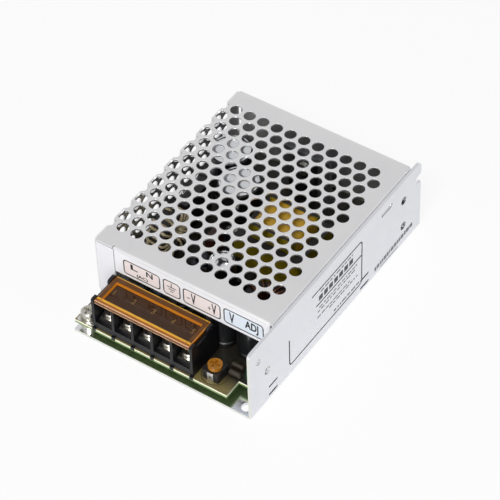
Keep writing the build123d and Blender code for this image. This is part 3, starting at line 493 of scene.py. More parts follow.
NODE_FINISHES = {
    "chassis": chassis_aluminium, "cover_screws": zinc, "circuit_board": laminate,
    "insulation_sheet": film_sheet, "board_standoffs": nickel, "board_screws": zinc,
    "board_washers": zinc, "terminal_body": phenolic, "terminal_plates": nickel,
    "terminal_flap": amber_shaded_window, "trimmer_body": black_epoxy, "trimmer_rotor": orange_nylon,
    "output_led": green_lens, "bulk_capacitors": sleeved_can, "output_capacitors": sleeved_can,
    "small_capacitors": sleeved_can, "transformer_core": taped_ferrite,
    "transformer_bobbin": taped_former, "transformer_winding": tape,
    "switch_heatsink": sink_aluminium, "diode_heatsink": sink_aluminium,
    "switch_transistor": black_epoxy, "output_diode": black_epoxy, "heatsink_screws": zinc,
    "inductor_core": core_ferrite, "inductor_winding": copper, "choke_core": core_ferrite,
    "choke_winding": beige_wire, "x_capacitor": potted_yellow_shaded, "y_capacitors": dipped_blue,
    "thermistor": black_epoxy, "varistor": dipped_blue, "fuse": fuse_glass, "fuse_clips": nickel,
    "bridge_rectifier": black_epoxy, "film_capacitors": dipped_red, "resistors": lacquer_shaded_brown,
    "controller_chip": black_epoxy, "optocoupler": black_epoxy, "cover": cover_aluminium,
}
for number in range(1, POLES + 1):
    NODE_FINISHES[f"wire_clamp_{number}"] = nickel
    NODE_FINISHES[f"terminal_screw_{number}"] = zinc

# The flap's finishes by index: painted shade in the window, painted highlights in the glow, pale and orange
# lines
FLAP_FINISHES = (amber_shaded_window, amber_rim, amber_painted_glow, amber_painted_highlight, amber_brown, amber_painted_orange)
WINDOW, RIM, PAINTED_GLOW, PAINTED_PALE, BROWN, PAINTED_ORANGE = range(len(FLAP_FINISHES))


def dress_nodes():
    """Gives every CAD node its finish."""
    for name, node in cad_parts.items():
        node.data.materials.clear()
        node.data.materials.append(NODE_FINISHES[name])


# Meshes

def grid(points):
    """The points of an (n, m, 3) surface and its quads, row by row."""
    rows, columns = points.shape[:2]
    at = np.arange(rows * columns).reshape(rows, columns)
    quads = np.stack([at[:-1, :-1], at[:-1, 1:], at[1:, 1:], at[1:, :-1]], axis=-1)
    return points.reshape(-1, 3), quads.reshape(-1, 4)


def capped(rings):
    """A closed solid from an (n, m, 3) stack of outlines: quads from each to the next, and a face
    over each end."""
    at = np.arange(rings.shape[0] * rings.shape[1]).reshape(rings.shape[:2])
    turned = np.roll(at, -1, axis=1)
    sides = np.stack([at[:-1], turned[:-1], turned[1:], at[1:]], axis=-1).reshape(-1, 4).tolist()
    return rings.reshape(-1, 3), sides + [at[0, ::-1].tolist(), at[-1].tolist()]


def joined(parts):
    """Several (points, faces) pairs as one."""
    points, faces, count = [], [], 0
    for part_points, part_faces in parts:
        points.append(part_points)
        faces.extend((np.asarray(face) + count).tolist() for face in part_faces)
        count += len(part_points)
    return np.vstack(points), faces


def make_piece(name, points, faces, finishes, body="case", slot="case_sheet", sharp=35):
    """A piece at the origin from points in millimetres, smooth up to the sharp angle."""
    mesh = bpy.data.meshes.new(name)
    mesh.from_pydata((np.asarray(points) * MM).tolist(), [], [list(face) for face in faces])
    for finish in finishes:
        mesh.materials.append(finish)
    piece = bpy.data.objects.new(name, mesh)
    bpy.context.scene.collection.objects.link(piece)
    mesh.shade_smooth()
    mesh.set_sharp_from_angle(angle=radians(sharp))
    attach(piece, body)
    return piece


def weld(piece, sharp=35):
    """Merges doubled points and points all faces outward."""
    work = bmesh.new()
    work.from_mesh(piece.data)
    bmesh.ops.remove_doubles(work, verts=work.verts, dist=0.002 * MM)
    bmesh.ops.recalc_face_normals(work, faces=work.faces)
    work.to_mesh(piece.data)
    work.free()
    piece.data.set_sharp_from_angle(angle=radians(sharp))


def face_values(mesh, name):
    """One vector for each face of a mesh, such as its center or its normal."""
    values = np.empty(3 * len(mesh.polygons), dtype=np.float32)
    mesh.polygons.foreach_get(name, values)
    return values.reshape(-1, 3)


def face_upward(mesh):
    """Turns an open sheet's faces over where its highest one looks down."""
    highest = face_values(mesh, "center")[:, 2].argmax()
    if face_values(mesh, "normal")[highest, 2] < 0:
        mesh.flip_normals()


def blank_point(across, along):
    """Outer face of the cover at a place on its flat blank. across runs from the right edge: flat
    along the top, then round the left bend by the angle (across - start) / neutral radius, then
    straight down the left wall."""
    angle = np.clip((across - BEND_START) / (BEND - SHEET / 2), 0, pi / 2)
    flat = np.minimum(across, BEND_START)
    down = np.maximum(across - WALL_START, 0)
    x = RIGHT - flat - BEND * np.sin(angle)
    z = TOP - BEND + BEND * np.cos(angle) - down
    return np.stack([x, along + 0 * x, z], axis=-1)


def blank_patch(across_lines, along_lines):
    """The folded sheet over a rectangle of the blank, divided at the given lines."""
    across, along = np.meshgrid(across_lines, along_lines, indexing="ij")
    return grid(blank_point(across, along))


def ring_cells(centres, border, radius):
    """Sheet between round holes and the borders of their cells: for each border point the circle's
    point lies at the same angle, and rings are straight mixes of the two."""
    angle = np.arctan2(border[:, 1], border[:, 0])
    circle = radius * np.stack([np.cos(angle), np.sin(angle)], axis=-1)
    rings = np.stack([circle + share * (border - circle) for share in RING_SHARES])
    flat = centres[:, None, None, :] + rings[None]
    points = blank_point(flat[..., 0], flat[..., 1]).reshape(-1, 3)
    at = np.arange(len(points)).reshape(flat.shape[:3])
    turned = np.roll(at, -1, axis=2)
    quads = np.stack([at[:, :-1], turned[:, :-1], turned[:, 1:], at[:, 1:]], axis=-1)
    return points, quads.reshape(-1, 4)


def cell_border(across_lines, along_lines):
    """The points round a rectangular cell at its dividing lines, given from its hole's centre."""
    low_side = [(across_lines[0], y) for y in along_lines[:-1]]
    back_side = [(x, along_lines[-1]) for x in across_lines[:-1]]
    high_side = [(across_lines[-1], y) for y in along_lines[:0:-1]]
    front_side = [(x, along_lines[0]) for x in across_lines[:0:-1]]
    return np.array(low_side + back_side + high_side + front_side)


def front_or_back_fold(across_lines, edge, outward, drop):
    """A strip folded down from the top: a quarter circle of the bend's radius, then straight."""
    reach = np.append(BEND * np.sin(BEND_ANGLES), BEND)
    level = np.append(TOP - BEND + BEND * np.cos(BEND_ANGLES), TOP - drop)
    x = (RIGHT - np.asarray(across_lines))[:, None]
    return grid(np.stack(np.broadcast_arrays(x, edge + outward * reach, level), axis=-1))


def side_tab(across_lines):
    """The front tab: a quarter circle round the left wall's upright edge, then straight along X."""
    x = np.append(LEFT + BEND * (1 - np.cos(BEND_ANGLES)), LEFT + TAB_WIDTH)
    y = np.append(FLAT_FRONT - BEND * np.sin(BEND_ANGLES), FRONT)
    z = TOP - BEND - (np.asarray(across_lines) - WALL_START)
    return grid(np.stack(np.broadcast_arrays(x, y, z[:, None]), axis=-1))


def right_flange(along_lines):
    """The right flange: a quarter circle down from the top, then straight."""
    x = np.append(RIGHT - BEND + BEND * np.sin(BEND_ANGLES), RIGHT)
    z = np.append(TOP - BEND + BEND * np.cos(BEND_ANGLES), TOP - FLANGE_DROP)
    along = np.asarray(along_lines)[:, None]
    return grid(np.stack(np.broadcast_arrays(x, along, z), axis=-1))


def perforation(across, along):
    """The perforated field: a cell of sheet round each hole, every second row shifted by half a
    pitch, and the half cell that the shift leaves at the row's end."""
    half = CELL_STEPS // 2
    parts, centres = [], []
    for row in range(ROWS):
        odd = row % 2
        spare = across[-half - 1:] if odd else across[:half + 1]
        parts.append(blank_patch(spare, along[row * ROW_STEPS:(row + 1) * ROW_STEPS + 1]))
        start = EDGE_TO_HOLE if odd else EDGE_TO_HOLE + PITCH / 2
        row_y = along[0] + (row + 0.5) * ROW_PITCH
        centres += [(start + column * PITCH, row_y) for column in range(COLUMNS)]
    border = cell_border(np.linspace(-PITCH / 2, PITCH / 2, CELL_STEPS + 1),
                         np.linspace(-ROW_PITCH / 2, ROW_PITCH / 2, ROW_STEPS + 1))
    parts.append(ring_cells(np.array(centres), border, HOLE_RADIUS))
    return parts


def wall_foot(lower, all_along):
    """The left wall under the perforation, with a round seat for each cover screw."""
    seat_across = WALL_START + TOP - BEND - SEAT_Z
    parts, taken = [], 0
    for place in SEAT_PLACES:
        nearest = int(round((place - all_along[2]) * ROW_STEPS / ROW_PITCH)) + 2
        start, end = nearest - ROW_STEPS, nearest + ROW_STEPS
        parts.append(blank_patch(lower, all_along[taken:start + 1]))
        border = cell_border(lower - seat_across, all_along[start:end + 1] - place)
        parts.append(ring_cells(np.array([[seat_across, place]]), border, SEAT_RADIUS))
        taken = end
    parts.append(blank_patch(lower, all_along[taken:]))
    return parts


def thicken_sheet(piece):
    """Gives the cover its wall, inward from its outer face, and breaks its edges."""
    wall = piece.modifiers.new("wall", "SOLIDIFY")
    wall.thickness = SHEET * MM
    wall.offset = -1
    wall.use_even_offset = True
    edge = piece.modifiers.new("edge", "BEVEL")
    edge.width = BROKEN_EDGE * MM
    edge.segments = 1
    edge.limit_method = "ANGLE"
    edge.angle_limit = radians(55)
    edge.harden_normals = True


def cover_sheet():
    """The whole cover from its flat blank: staggered round holes, bends, lip, tab, back and flange."""
    step, row_step = PITCH / CELL_STEPS, ROW_PITCH / ROW_STEPS
    first_row = (FRONT + BACK) / 2 - ROWS * ROW_PITCH / 2
    first_line = EDGE_TO_HOLE - PITCH / 2
    across = first_line + step * np.arange(COLUMNS * CELL_STEPS + CELL_STEPS // 2 + 1)
    along = first_row + row_step * np.arange(ROWS * ROW_STEPS + 1)
    front_lines = [FLAT_FRONT, FLAT_FRONT + FLANGE_RELIEF, along[0]]
    back_lines = [along[-1], FLAT_BACK - FLANGE_RELIEF, FLAT_BACK]
    all_along = np.concatenate([front_lines[:-1], along, back_lines[1:]])
    tab_end = WALL_START + TOP - BEND - TAB_LOW
    wall_end = WALL_START + TOP - BEND - FLOOR_GAP
    lower = np.concatenate([np.linspace(across[-1], tab_end, TAB_LINES),
                            np.linspace(tab_end, wall_end, FOOT_LINES)[1:]])
    top_lines = np.concatenate([[BEND], across[across < BEND_START]])
    lip_lines = top_lines[top_lines < LIP_LEFT + step / 2]
    ledge_lines = top_lines[top_lines > LIP_LEFT + step / 2]
    wall_lines = np.concatenate([across[across > WALL_START], lower[1:TAB_LINES]])
    parts = [
        blank_patch([BEND, across[0]], all_along),
        blank_patch([0, BEND], [FRONT, *front_lines[:2]]),
        blank_patch([0, BEND], back_lines[1:]),
        blank_patch(across, front_lines),
        blank_patch(across, back_lines),
        *perforation(across, along),
        *wall_foot(lower, all_along),
        front_or_back_fold(lip_lines, FLAT_FRONT, -1, LIP_DROP),
        front_or_back_fold(top_lines, FLAT_BACK, 1, BACK_DROP),
        blank_patch(ledge_lines, [FRONT, FLAT_FRONT]),
        side_tab(wall_lines),
        right_flange(all_along[1:-1]),
    ]
    piece = make_piece("cover_sheet", *joined(parts), [cover_aluminium, lip_painted_pale])
    mesh = piece.data
    weld(piece)
    face_upward(mesh)
    # The faces on the front plane, lip and tab, take the pale finish, a painted reflection.
    on_lip = np.abs(face_values(mesh, "center")[:, 1] / MM - FRONT) < NEAR
    mesh.polygons.foreach_set("material_index", on_lip.astype(np.int32))
    mesh.shade_smooth()
    thicken_sheet(piece)
    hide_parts("cover")


def broken_box(low, high, chamfer):
    """A box with broken edges: an outline of eight corners at four heights, the outer two inset."""
    inset = chamfer * np.array([1, 0, 0, 1])[:, None]
    z = np.array([low[2], low[2] + chamfer, high[2] - chamfer, high[2]])[:, None]
    x0, x1, y0, y1 = low[0] + inset, high[0] - inset, low[1] + inset, high[1] - inset
    x = np.hstack([x0 + chamfer, x1 - chamfer, x1, x1, x1 - chamfer, x0 + chamfer, x0, x0])
    y = np.hstack([y0, y0, y0 + chamfer, y1 - chamfer, y1, y1, y1 - chamfer, y0 + chamfer])
    return capped(np.stack(np.broadcast_arrays(x, y, z), axis=-1))


def hook_tongue():
    """The cover's tongue in the panel's slot: a bar with round ends, carried through the panel, and
    the plate that it hangs on."""
    y, z, length, thick = TONGUE
    sunk, rounded = TONGUE_DEPTHS
    angle = np.linspace(0, 2 * pi, TONGUE_POINTS, endpoint=False)
    ends = np.sign(np.cos(angle)) * (length - thick) / 2
    ring = np.stack([y + ends + thick / 2 * np.cos(angle), z + thick / 2 * np.sin(angle)], axis=-1)
    shrink = np.array([1.0, 1.0, TONGUE_TAPER])[:, None, None]
    middle = np.array([y, z])
    flat = middle + (ring - middle) * shrink
    x = np.array([RIGHT - SHEET, PANEL - sunk, PANEL - rounded])[:, None, None]
    bar = capped(np.concatenate([np.broadcast_to(x, flat.shape[:2] + (1,)), flat], axis=-1))
    half = length / 2 - TONGUE_PLATE_END
    hang = broken_box((RIGHT - SHEET, y - half, z - TONGUE_PLATE_LOW),
                      (RIGHT, y + half, TOP - TONGUE_PLATE_HIGH), 0.05)
    weld(make_piece("hook_tongue", *joined([bar, hang]), [cover_aluminium]))


def pole_x(pole):
    """The middle of one terminal, counted from the left."""
    middle = (block_low[0] + block_high[0]) / 2
    return middle + (pole - (POLES - 1) / 2) * POLE_PITCH


def oval(x, y, wide, high, count):
    """The points of a flat oval round a place, from its half width and half height."""
    angle = np.linspace(0, 2 * pi, count, endpoint=False)
    return np.stack([x + wide * np.cos(angle), y + high * np.sin(angle)], axis=-1)


def hinge_pin(start, y, z):
    """A hinge pin: a circle carried along X for the pin's length."""
    circle = oval(y, z, PIN_RADIUS, PIN_RADIUS, 16)
    x = np.array([start, start + PIN_LENGTH])[:, None]
    return capped(np.stack(np.broadcast_arrays(x, circle[:, 0], circle[:, 1]), axis=-1))


def flap_lines():
    """The lines that divide the flap across and along: outer edges, broken edges, rims, the feet of
    the sloping walls, and even steps over the window."""
    left, right = flap_low[0] + FLAP_INSET, flap_high[0] - FLAP_INSET
    front, back = flap_low[1], flap_high[1]
    front_rim = front + FLAP_FRONT_RIM
    x = np.concatenate([
        [left, left + FLAP_EDGE, left + FLAP_RIM, left + FLAP_RIM + FLAP_WALL],
        np.linspace(left + FLAP_MARGIN, right - FLAP_MARGIN, 12),
        [right - FLAP_RIM - FLAP_WALL, right - FLAP_RIM, right - FLAP_EDGE, right]])
    y = np.concatenate([
        [front, front + FLAP_FRONT_EDGE, front_rim - FLAP_PAINTED_GLOW, front_rim, front_rim + FLAP_WALL],
        np.linspace(front + FLAP_MARGIN, back - FLAP_MARGIN, 4),
        [back - FLAP_BACK_RIB - FLAP_WALL, back - FLAP_BACK_RIB, back - FLAP_BACK_EDGE, back]])
    return x, y


def flap_top_finishes(columns, rows):
    """The finish of each quad of the flap's top, by its column and row: its front rim, slopes and broken
    edges get painted glow and highlights, standing in for light that gathers in a clear moulding's edges,
    and its window is painted dark."""
    kinds = np.full((columns, rows), WINDOW)
    kinds[:3], kinds[-3:], kinds[:, -3:] = BROWN, BROWN, BROWN
    kinds[:, :2] = RIM
    kinds[1:-1, 2] = PAINTED_GLOW
    kinds[2:-2, 3] = RIM
    kinds[2:-2, -3] = PAINTED_ORANGE
    kinds[2, 2:-2], kinds[-3, 2:-2] = PAINTED_ORANGE, PAINTED_ORANGE
    kinds[:, -1] = PAINTED_GLOW
    kinds[:, 0] = PAINTED_PALE
    kinds[0, 1:], kinds[-1, 1:] = PAINTED_ORANGE, PAINTED_ORANGE
    return kinds.reshape(-1)


def flap_cover():
    """The clear flap. Its top is the rim's level, less the window's depth times a share that rises
    from 0 to 1 across the sloping walls, less a small drop at the outer edge. Its underside is
    flat, and its walls are straight mixes of the foot and the top. Returns the window's level and
    the middle of its depth."""
    x, y = flap_lines()
    under, top = flap_low[2] + FLAP_LIP_DROP, flap_high[2]
    across, along = np.meshgrid(x, y, indexing="ij")
    inside = np.minimum.reduce([across - x[2], x[-3] - across, along - y[3], y[-3] - along])
    outside = np.minimum.reduce([across - x[0], x[-1] - across, along - y[0], y[-1] - along])
    level = top - FLAP_DEPTH * np.clip(inside / FLAP_WALL, 0, 1) - FLAP_EDGE_DROP * (outside < NEAR)
    upper = np.stack([across, along, level], axis=-1)
    lower = np.stack([across, along, np.full_like(across, under)], axis=-1)
    columns, rows = len(x) - 1, len(y) - 1
    parts = [grid(upper), grid(lower[::-1])]
    marks = [flap_top_finishes(columns, rows), np.full(columns * rows, WINDOW)]
    heights = np.array(FLAP_BANDS)[:, None, None]
    # The walls' bands, from the foot: a painted pale highlight low on the front, painted glow high on the
    # back, painted orange high on the sides.
    sides = ((upper[:, 0], (PAINTED_PALE, BROWN, BROWN)), (upper[:, -1], (BROWN, BROWN, PAINTED_GLOW)),
             (upper[0], (BROWN, BROWN, PAINTED_ORANGE)), (upper[-1], (BROWN, BROWN, PAINTED_ORANGE)))
    for rim, kinds in sides:
        foot = rim.copy()
        foot[:, 2] = under
        parts.append(grid(foot + heights * (rim - foot)))
        marks.append(np.repeat(kinds, len(rim) - 1))
    for start in (flap_low[0], flap_high[0] - PIN_LENGTH):
        pin = hinge_pin(start, flap_high[1] - PIN_FROM_BACK, (under + top) / 2)
        parts.append(pin)
        marks.append(np.full(len(pin[1]), BROWN))
    piece = make_piece("flap_cover", *joined(parts), FLAP_FINISHES, "flap", "flap_amber")
    piece.data.polygons.foreach_set("material_index", np.concatenate(marks))
    weld(piece, 30)
    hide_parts("terminal_flap")
    return top - FLAP_DEPTH, (y[4] + y[-4]) / 2


# Prints

def text_patch(words, left, right, low, high):
    """Lettering scaled to fill a rectangle: the letters' own outlines, stretched straight."""
    curve = bpy.data.curves.new("letters", "FONT")
    curve.body = words
    curve.offset = LETTER_SWELL
    curve.resolution_u = 3
    holder = bpy.data.objects.new("letters", curve)
    mesh = bpy.data.meshes.new_from_object(holder)
    places = np.empty(3 * len(mesh.vertices), dtype=np.float32)
    mesh.vertices.foreach_get("co", places)
    points = places.reshape(-1, 3)[:, :2].astype(float)
    faces = [list(face.vertices) for face in mesh.polygons]
    bpy.data.objects.remove(holder)
    bpy.data.curves.remove(curve)
    bpy.data.meshes.remove(mesh)
    smallest, largest = points.min(axis=0), points.max(axis=0)
    share = (points - smallest) / (largest - smallest)
    return np.array([left, low]) + share * np.array([right - left, high - low]), faces


def bar_patch(left, right, low, high):
    """A plain printed bar."""
    corners = [(left, low), (right, low), (right, high), (left, high)]
    return np.array(corners, dtype=float), [[0, 1, 2, 3]]


def corner_arc(x, y, turn, reach):
    """A quarter circle round a place, which starts this many quarter turns round from the right."""
    angle = np.linspace(0, pi / 2, 7) + turn * pi / 2
    return np.stack([x + reach * np.cos(angle), y + reach * np.sin(angle)], axis=-1)


def rounded_outline(left, right, low, high, radius, inset=0.0):
    """A rounded rectangle: a quarter circle at each corner, drawn in by the inset."""
    corners = ((right, high, -1, -1), (left, high, 1, -1), (left, low, 1, 1), (right, low, -1, 1))
    return np.concatenate([
        corner_arc(x + radius * inward, y + radius * upward, turn, radius - inset)
        for turn, (x, y, inward, upward) in enumerate(corners)])


def line_patch(outer, inner, closed=True):
    """The printed line between two outlines that have as many points."""
    at = np.arange(2 * len(outer)).reshape(2, -1)
    ahead = np.roll(at, -1, axis=1)
    quads = np.stack([at[0], ahead[0], ahead[1], at[1]], axis=-1).tolist()
    return np.concatenate([outer, inner]), quads if closed else quads[:-1]


def frame_patch(box, radius, line):
    """A rounded rectangle's printed outline."""
    return line_patch(rounded_outline(*box, radius), rounded_outline(*box, radius, line))


def round_patch(box, radius):
    """A filled rounded rectangle."""
    outline = rounded_outline(*box, radius)
    return outline, [list(range(len(outline)))]


def open_frame_patch(box, radius, line, gap):
    """A rounded rectangle's printed outline, left open round its upper left corner: the top line
    starts and the left line ends at the gap's two places."""
    left, right, low, high = box
    gap_right, gap_low = gap
    rings = []
    for inset in (0.0, line):
        reach = radius - inset
        rings.append(np.concatenate([
            [(left + inset, gap_low)],
            corner_arc(left + radius, low + radius, 2, reach),
            corner_arc(right - radius, low + radius, 3, reach),
            corner_arc(right - radius, high - radius, 4, reach),
            [(gap_right, high - inset)]]))
    return line_patch(*rings, closed=False)


def print_on(name, patches, origin, rightward, upward, finish, body="case", slot="part_black"):
    """Lays flat printed patches on a plane through the origin, spanned by two directions, and turns
    each face to look out of it."""
    points, faces = joined(patches)
    origin, rightward, upward = (np.array(v, dtype=float) for v in (origin, rightward, upward))
    placed = origin + points[:, :1] * rightward + points[:, 1:] * upward
    outward = np.cross(rightward, upward)
    first, second, third = placed[np.array([face[:3] for face in faces])].swapaxes(0, 1)
    looks_out = np.cross(second - first, third - first) @ outward > 0
    turned = [face if out else face[::-1] for face, out in zip(faces, looks_out)]
    make_piece(name, placed, turned, [finish], body, slot)


def lip_marks():
    """The terminal marks on the front lip: four rounded boxes with their tints and generic marks."""
    across = ((1, 0, 0), (0, 0, 1))
    tint_plane = (0, FRONT - PRINT / 2, 0)
    tints = [round_patch(box, BOX_RADIUS) for box in TERMINAL_BOXES]
    print_on("lip_tint", tints, tint_plane, *across, print_pink, slot="insulation_film")
    print_on("lip_tint_blue", [round_patch(ADJUSTER_BOX, BOX_RADIUS)], tint_plane, *across, print_blue,
             slot="insulation_film")
    marks = [frame_patch(box, BOX_RADIUS, BOX_LINE) for box in (*TERMINAL_BOXES, ADJUSTER_BOX)]
    marks += [text_patch(*mark) for mark in MARKS]
    marks += [bar_patch(*bar) for bar in (*EARTH_SIGN, *MINUS_SIGN, *PLUS_SIGN)]
    print_on("lip_marks", marks, (0, FRONT - PRINT, 0), *across, print_black)


def random_row(rng, start, end, widths, gaps):
    """The left and right edges of a row of bars of random widths with random gaps between."""
    edges, at = [], start
    while at < end:
        width = rng.uniform(*widths)
        edges.append((at, at + width))
        at += width + rng.uniform(*gaps)
    return edges


def panel_marks():
    """The rating place on the side panel: its frame, rule and plain bars, and the plain serial bars
    on a gentle slope."""
    on_panel = ((PANEL + PRINT, 0, 0), (0, 1, 0), (0, 0, 1))
    rng = np.random.default_rng(BAR_SEED)
    lines = [open_frame_patch(RATING_FRAME, RATING_RADIUS, RATING_LINE, RATING_GAP),
             bar_patch(*RATING_RULE)]
    print_on("rating_frame", lines, *on_panel, print_black)
    bars = [bar_patch(left, min(right, end), level, level + height)
            for start, end, level, height in RATING_ROWS
            for left, right in random_row(rng, start, end, (0.9, 3.0), (0.45, 0.9))]
    print_on("rating_bars", bars, *on_panel, print_grey)
    bold = [bar_patch(BOLD_START[0] + BOLD_PITCH * k, BOLD_START[1] + BOLD_PITCH * k, *BOLD_LEVELS)
            for k in range(BOLD_BARS)]
    print_on("rating_bold_bars", bold, *on_panel, print_dark)
    start, end, low, high = SERIAL_STRIP
    serial = []
    for left, right in random_row(rng, start, end, (0.7, 2.0), (0.3, 0.5)):
        rise = SERIAL_SLOPE * (left - start)
        serial.append(bar_patch(left, right, low + rise, high + rise))
    print_on("serial_bars", serial, *on_panel, print_grey)
    print_on("serial_line", [bar_patch(*SERIAL_LINE)], *on_panel, print_grey)


def flap_digits(level, middle):
    """The faint terminal numbers moulded in the flap's window."""
    half_widths = (0.25, 0.7, 0.7, 0.75, 0.7)
    digits = [text_patch(str(pole + 1), pole_x(pole) - half, pole_x(pole) + half,
                         middle - 0.3, middle + 2.1)
              for pole, half in enumerate(half_widths)]
    print_on("flap_digits", digits, (0, 0, level + 0.02), (1, 0, 0), (0, 1, 0), print_straw,
             "flap", "flap_amber")


# Small pieces on the board

STRAP = (1.3, 0.4, 0.25)
EYE = (0.1, 2.3, 0.5, 0.45)
RING_RADII = (5.2, 4.9)


def adjuster_details():
    """The adjuster's tinned front strap with its eye, and the ring printed round it on the board. The
    strap is given by its half width, thickness and shift to the right, the eye by its place on the
    strap and its half width and half height."""
    low, high = corners_mm("trimmer_body")
    centre = (low + high) / 2
    half_width, thick, shift = STRAP
    middle = centre[0] + shift
    strap = broken_box((middle - half_width, low[1] - thick, BOARD_TOP),
                       (middle + half_width, low[1] - NEAR, high[2] - 0.1), 0.08)
    make_piece("trimmer_strap", *strap, [solder], slot="contact_nickel")
    eye = oval(middle + EYE[0], BOARD_TOP + EYE[1], *EYE[2:], 16)
    print_on("trimmer_eye", [(eye, [list(range(len(eye)))])], (0, low[1] - thick - 2 * NEAR, 0),
             (1, 0, 0), (0, 0, 1), print_black)
    ring = line_patch(*(oval(centre[0], centre[1], radius, radius, 48) for radius in RING_RADII))
    print_on("trimmer_ring", [ring], (0, 0, BOARD_TOP + PRINT), (1, 0, 0), (0, 1, 0), print_brown)


def block_feet():
    """The block's feet that lap over the board's front edge, one under each barrier."""
    lap, bite, reach = 0.25, 0.3, 0.5
    feet = []
    for k in range(POLES + 1):
        x = block_low[0] + k * POLE_PITCH
        feet.append(broken_box((x - 0.1, board_low[1] - lap, board_low[2] + reach),
                               (x + BARRIER + 0.2, block_low[1] + bite, BOARD_TOP + reach), 0.08))
    make_piece("block_feet", *joined(feet), [phenolic], slot="black_moulding")


def ground_pad():
    """The tinned pad on the board round its front left screw."""
    washers_front = corners_mm("board_washers")[0][1]
    box = (board_low[0] + 0.4, block_low[0] - 0.3, board_low[1] + 0.3, washers_front + 9.0)
    print_on("ground_pad", [round_patch(box, 1.0)], (0, 0, BOARD_TOP + PRINT), (1, 0, 0), (0, 1, 0),
             solder, slot="contact_nickel")


# Wound wire

STEPS_PER_TURN = 20
WIRE_SIDES = 7
WIRE_GAP = 0.1


def signed_root(values):
    """The square root of each value's size, with the value's sign."""
    return np.sign(values) * np.abs(values) ** 0.5


def coil_path(inner, outer, height, start, end, turns, wire):
    """Wire wound round a ring: the place round the ring grows evenly while the wire goes round a
    rounded rectangle, whose two coordinates are signed square roots of cosine and sine."""
    share = np.linspace(0, 1, turns * STEPS_PER_TURN + 1)
    section = 2 * pi * turns * share
    half_width = (outer - inner) / 4 + wire / 2 + WIRE_GAP
    half_height = height / 2 + wire / 2 + WIRE_GAP
    radius = (outer + inner) / 4 + half_width * signed_root(np.cos(section))
    around = start + (end - start) * share
    level = half_height * signed_root(np.sin(section))
    return np.stack([radius * np.cos(around), radius * np.sin(around), level], axis=-1)


def wire_tube(path, radius):
    """A round tube along a path: at each point a circle across the path's direction."""
    ahead = np.gradient(path, axis=0)
    ahead /= np.linalg.norm(ahead, axis=1, keepdims=True)
    flat = path * np.array([1, 1, 0])
    side = np.cross(ahead, np.stack([-flat[:, 1], flat[:, 0], 0 * flat[:, 0]], axis=-1))
    side /= np.linalg.norm(side, axis=1, keepdims=True)
    over = np.cross(ahead, side)
    angle = np.linspace(0, 2 * pi, WIRE_SIDES, endpoint=False)[:, None]
    return capped(path[:, None] + radius * (np.cos(angle) * side[:, None]
                                            + np.sin(angle) * over[:, None]))


def wound_wire(name, core, node, finish, wire, ring, turns, sectors, upright=False):
    """Winds wire on a ring core over the given sectors in degrees, and places it on the core. ring
    is how much smaller the core's bore is than its outside, and an upright core has its axis
    along X."""
    low, high = corners_mm(core)
    outer = high[1] - low[1]
    height = (high[0] - low[0]) if upright else (high[2] - low[2])
    tubes = [wire_tube(coil_path(outer - ring, outer, height, radians(a), radians(b), turns, wire),
                       wire / 2) for a, b in sectors]
    points, faces = joined(tubes)
    if upright:
        points = np.stack([points[:, 2], points[:, 1], -points[:, 0]], axis=-1)
    piece = make_piece(name, points + (low + high) / 2, faces, [finish], slot="copper_wire", sharp=60)
    weld(piece, 60)
    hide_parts(node)


# Stage, light and camera

# The camera's place in millimetres, its directions, and its lens, as fitted to the photograph
CAMERA_PLACE = (368.5903, -514.2920, 689.4916)
CAMERA_RIGHT = (0.8280088, 0.5601884, -0.0242950)
CAMERA_DOWN = (0.3952210, -0.6138108, -0.6834008)
CAMERA_AHEAD = (-0.3977458, 0.5562600, -0.7296391)
LENS = 183.227
SENSOR = 36.0

# Each lamp's place and size in metres, and its power in watts
LAMPS = {
    "key": ((0.25, -0.80, 1.05), 0.35, 10.0),
    "front": ((0.15, -1.15, 0.12), 0.4, 5.0),
    "side": ((1.1, -0.1, 0.35), 0.6, 3.5),
}
LAMP_TARGET = (0, 0, 0.02)
FLOOR_HALF = 6.0


def place_camera():
    """The camera at the photograph's viewing angle."""
    camera = bpy.data.objects.new("camera", bpy.data.cameras.new("camera"))
    camera.data.lens = LENS
    camera.data.sensor_width = SENSOR
    camera.data.clip_end = 100
    up, behind = [-v for v in CAMERA_DOWN], [-v for v in CAMERA_AHEAD]
    turn = Matrix((CAMERA_RIGHT, up, behind)).transposed().to_4x4()
    camera.matrix_world = Matrix.Translation([v * MM for v in CAMERA_PLACE]) @ turn
    bpy.context.scene.collection.objects.link(camera)
    bpy.context.scene.camera = camera


def lamp(name, place, size, power):
    """A soft square lamp that looks at the object."""
    light = bpy.data.lights.new(name, "AREA")
    light.size = size
    light.energy = power
    holder = bpy.data.objects.new(name, light)
    bpy.context.scene.collection.objects.link(holder)
    ahead = np.array(LAMP_TARGET) - np.array(place)
    ahead = ahead / np.linalg.norm(ahead)
    side = np.cross(ahead, (0, 0, 1))
    side = side / np.linalg.norm(side)
    turn = Matrix((tuple(side), tuple(np.cross(side, ahead)), tuple(-ahead))).transposed()
    holder.matrix_world = Matrix.Translation(place) @ turn.to_4x4()


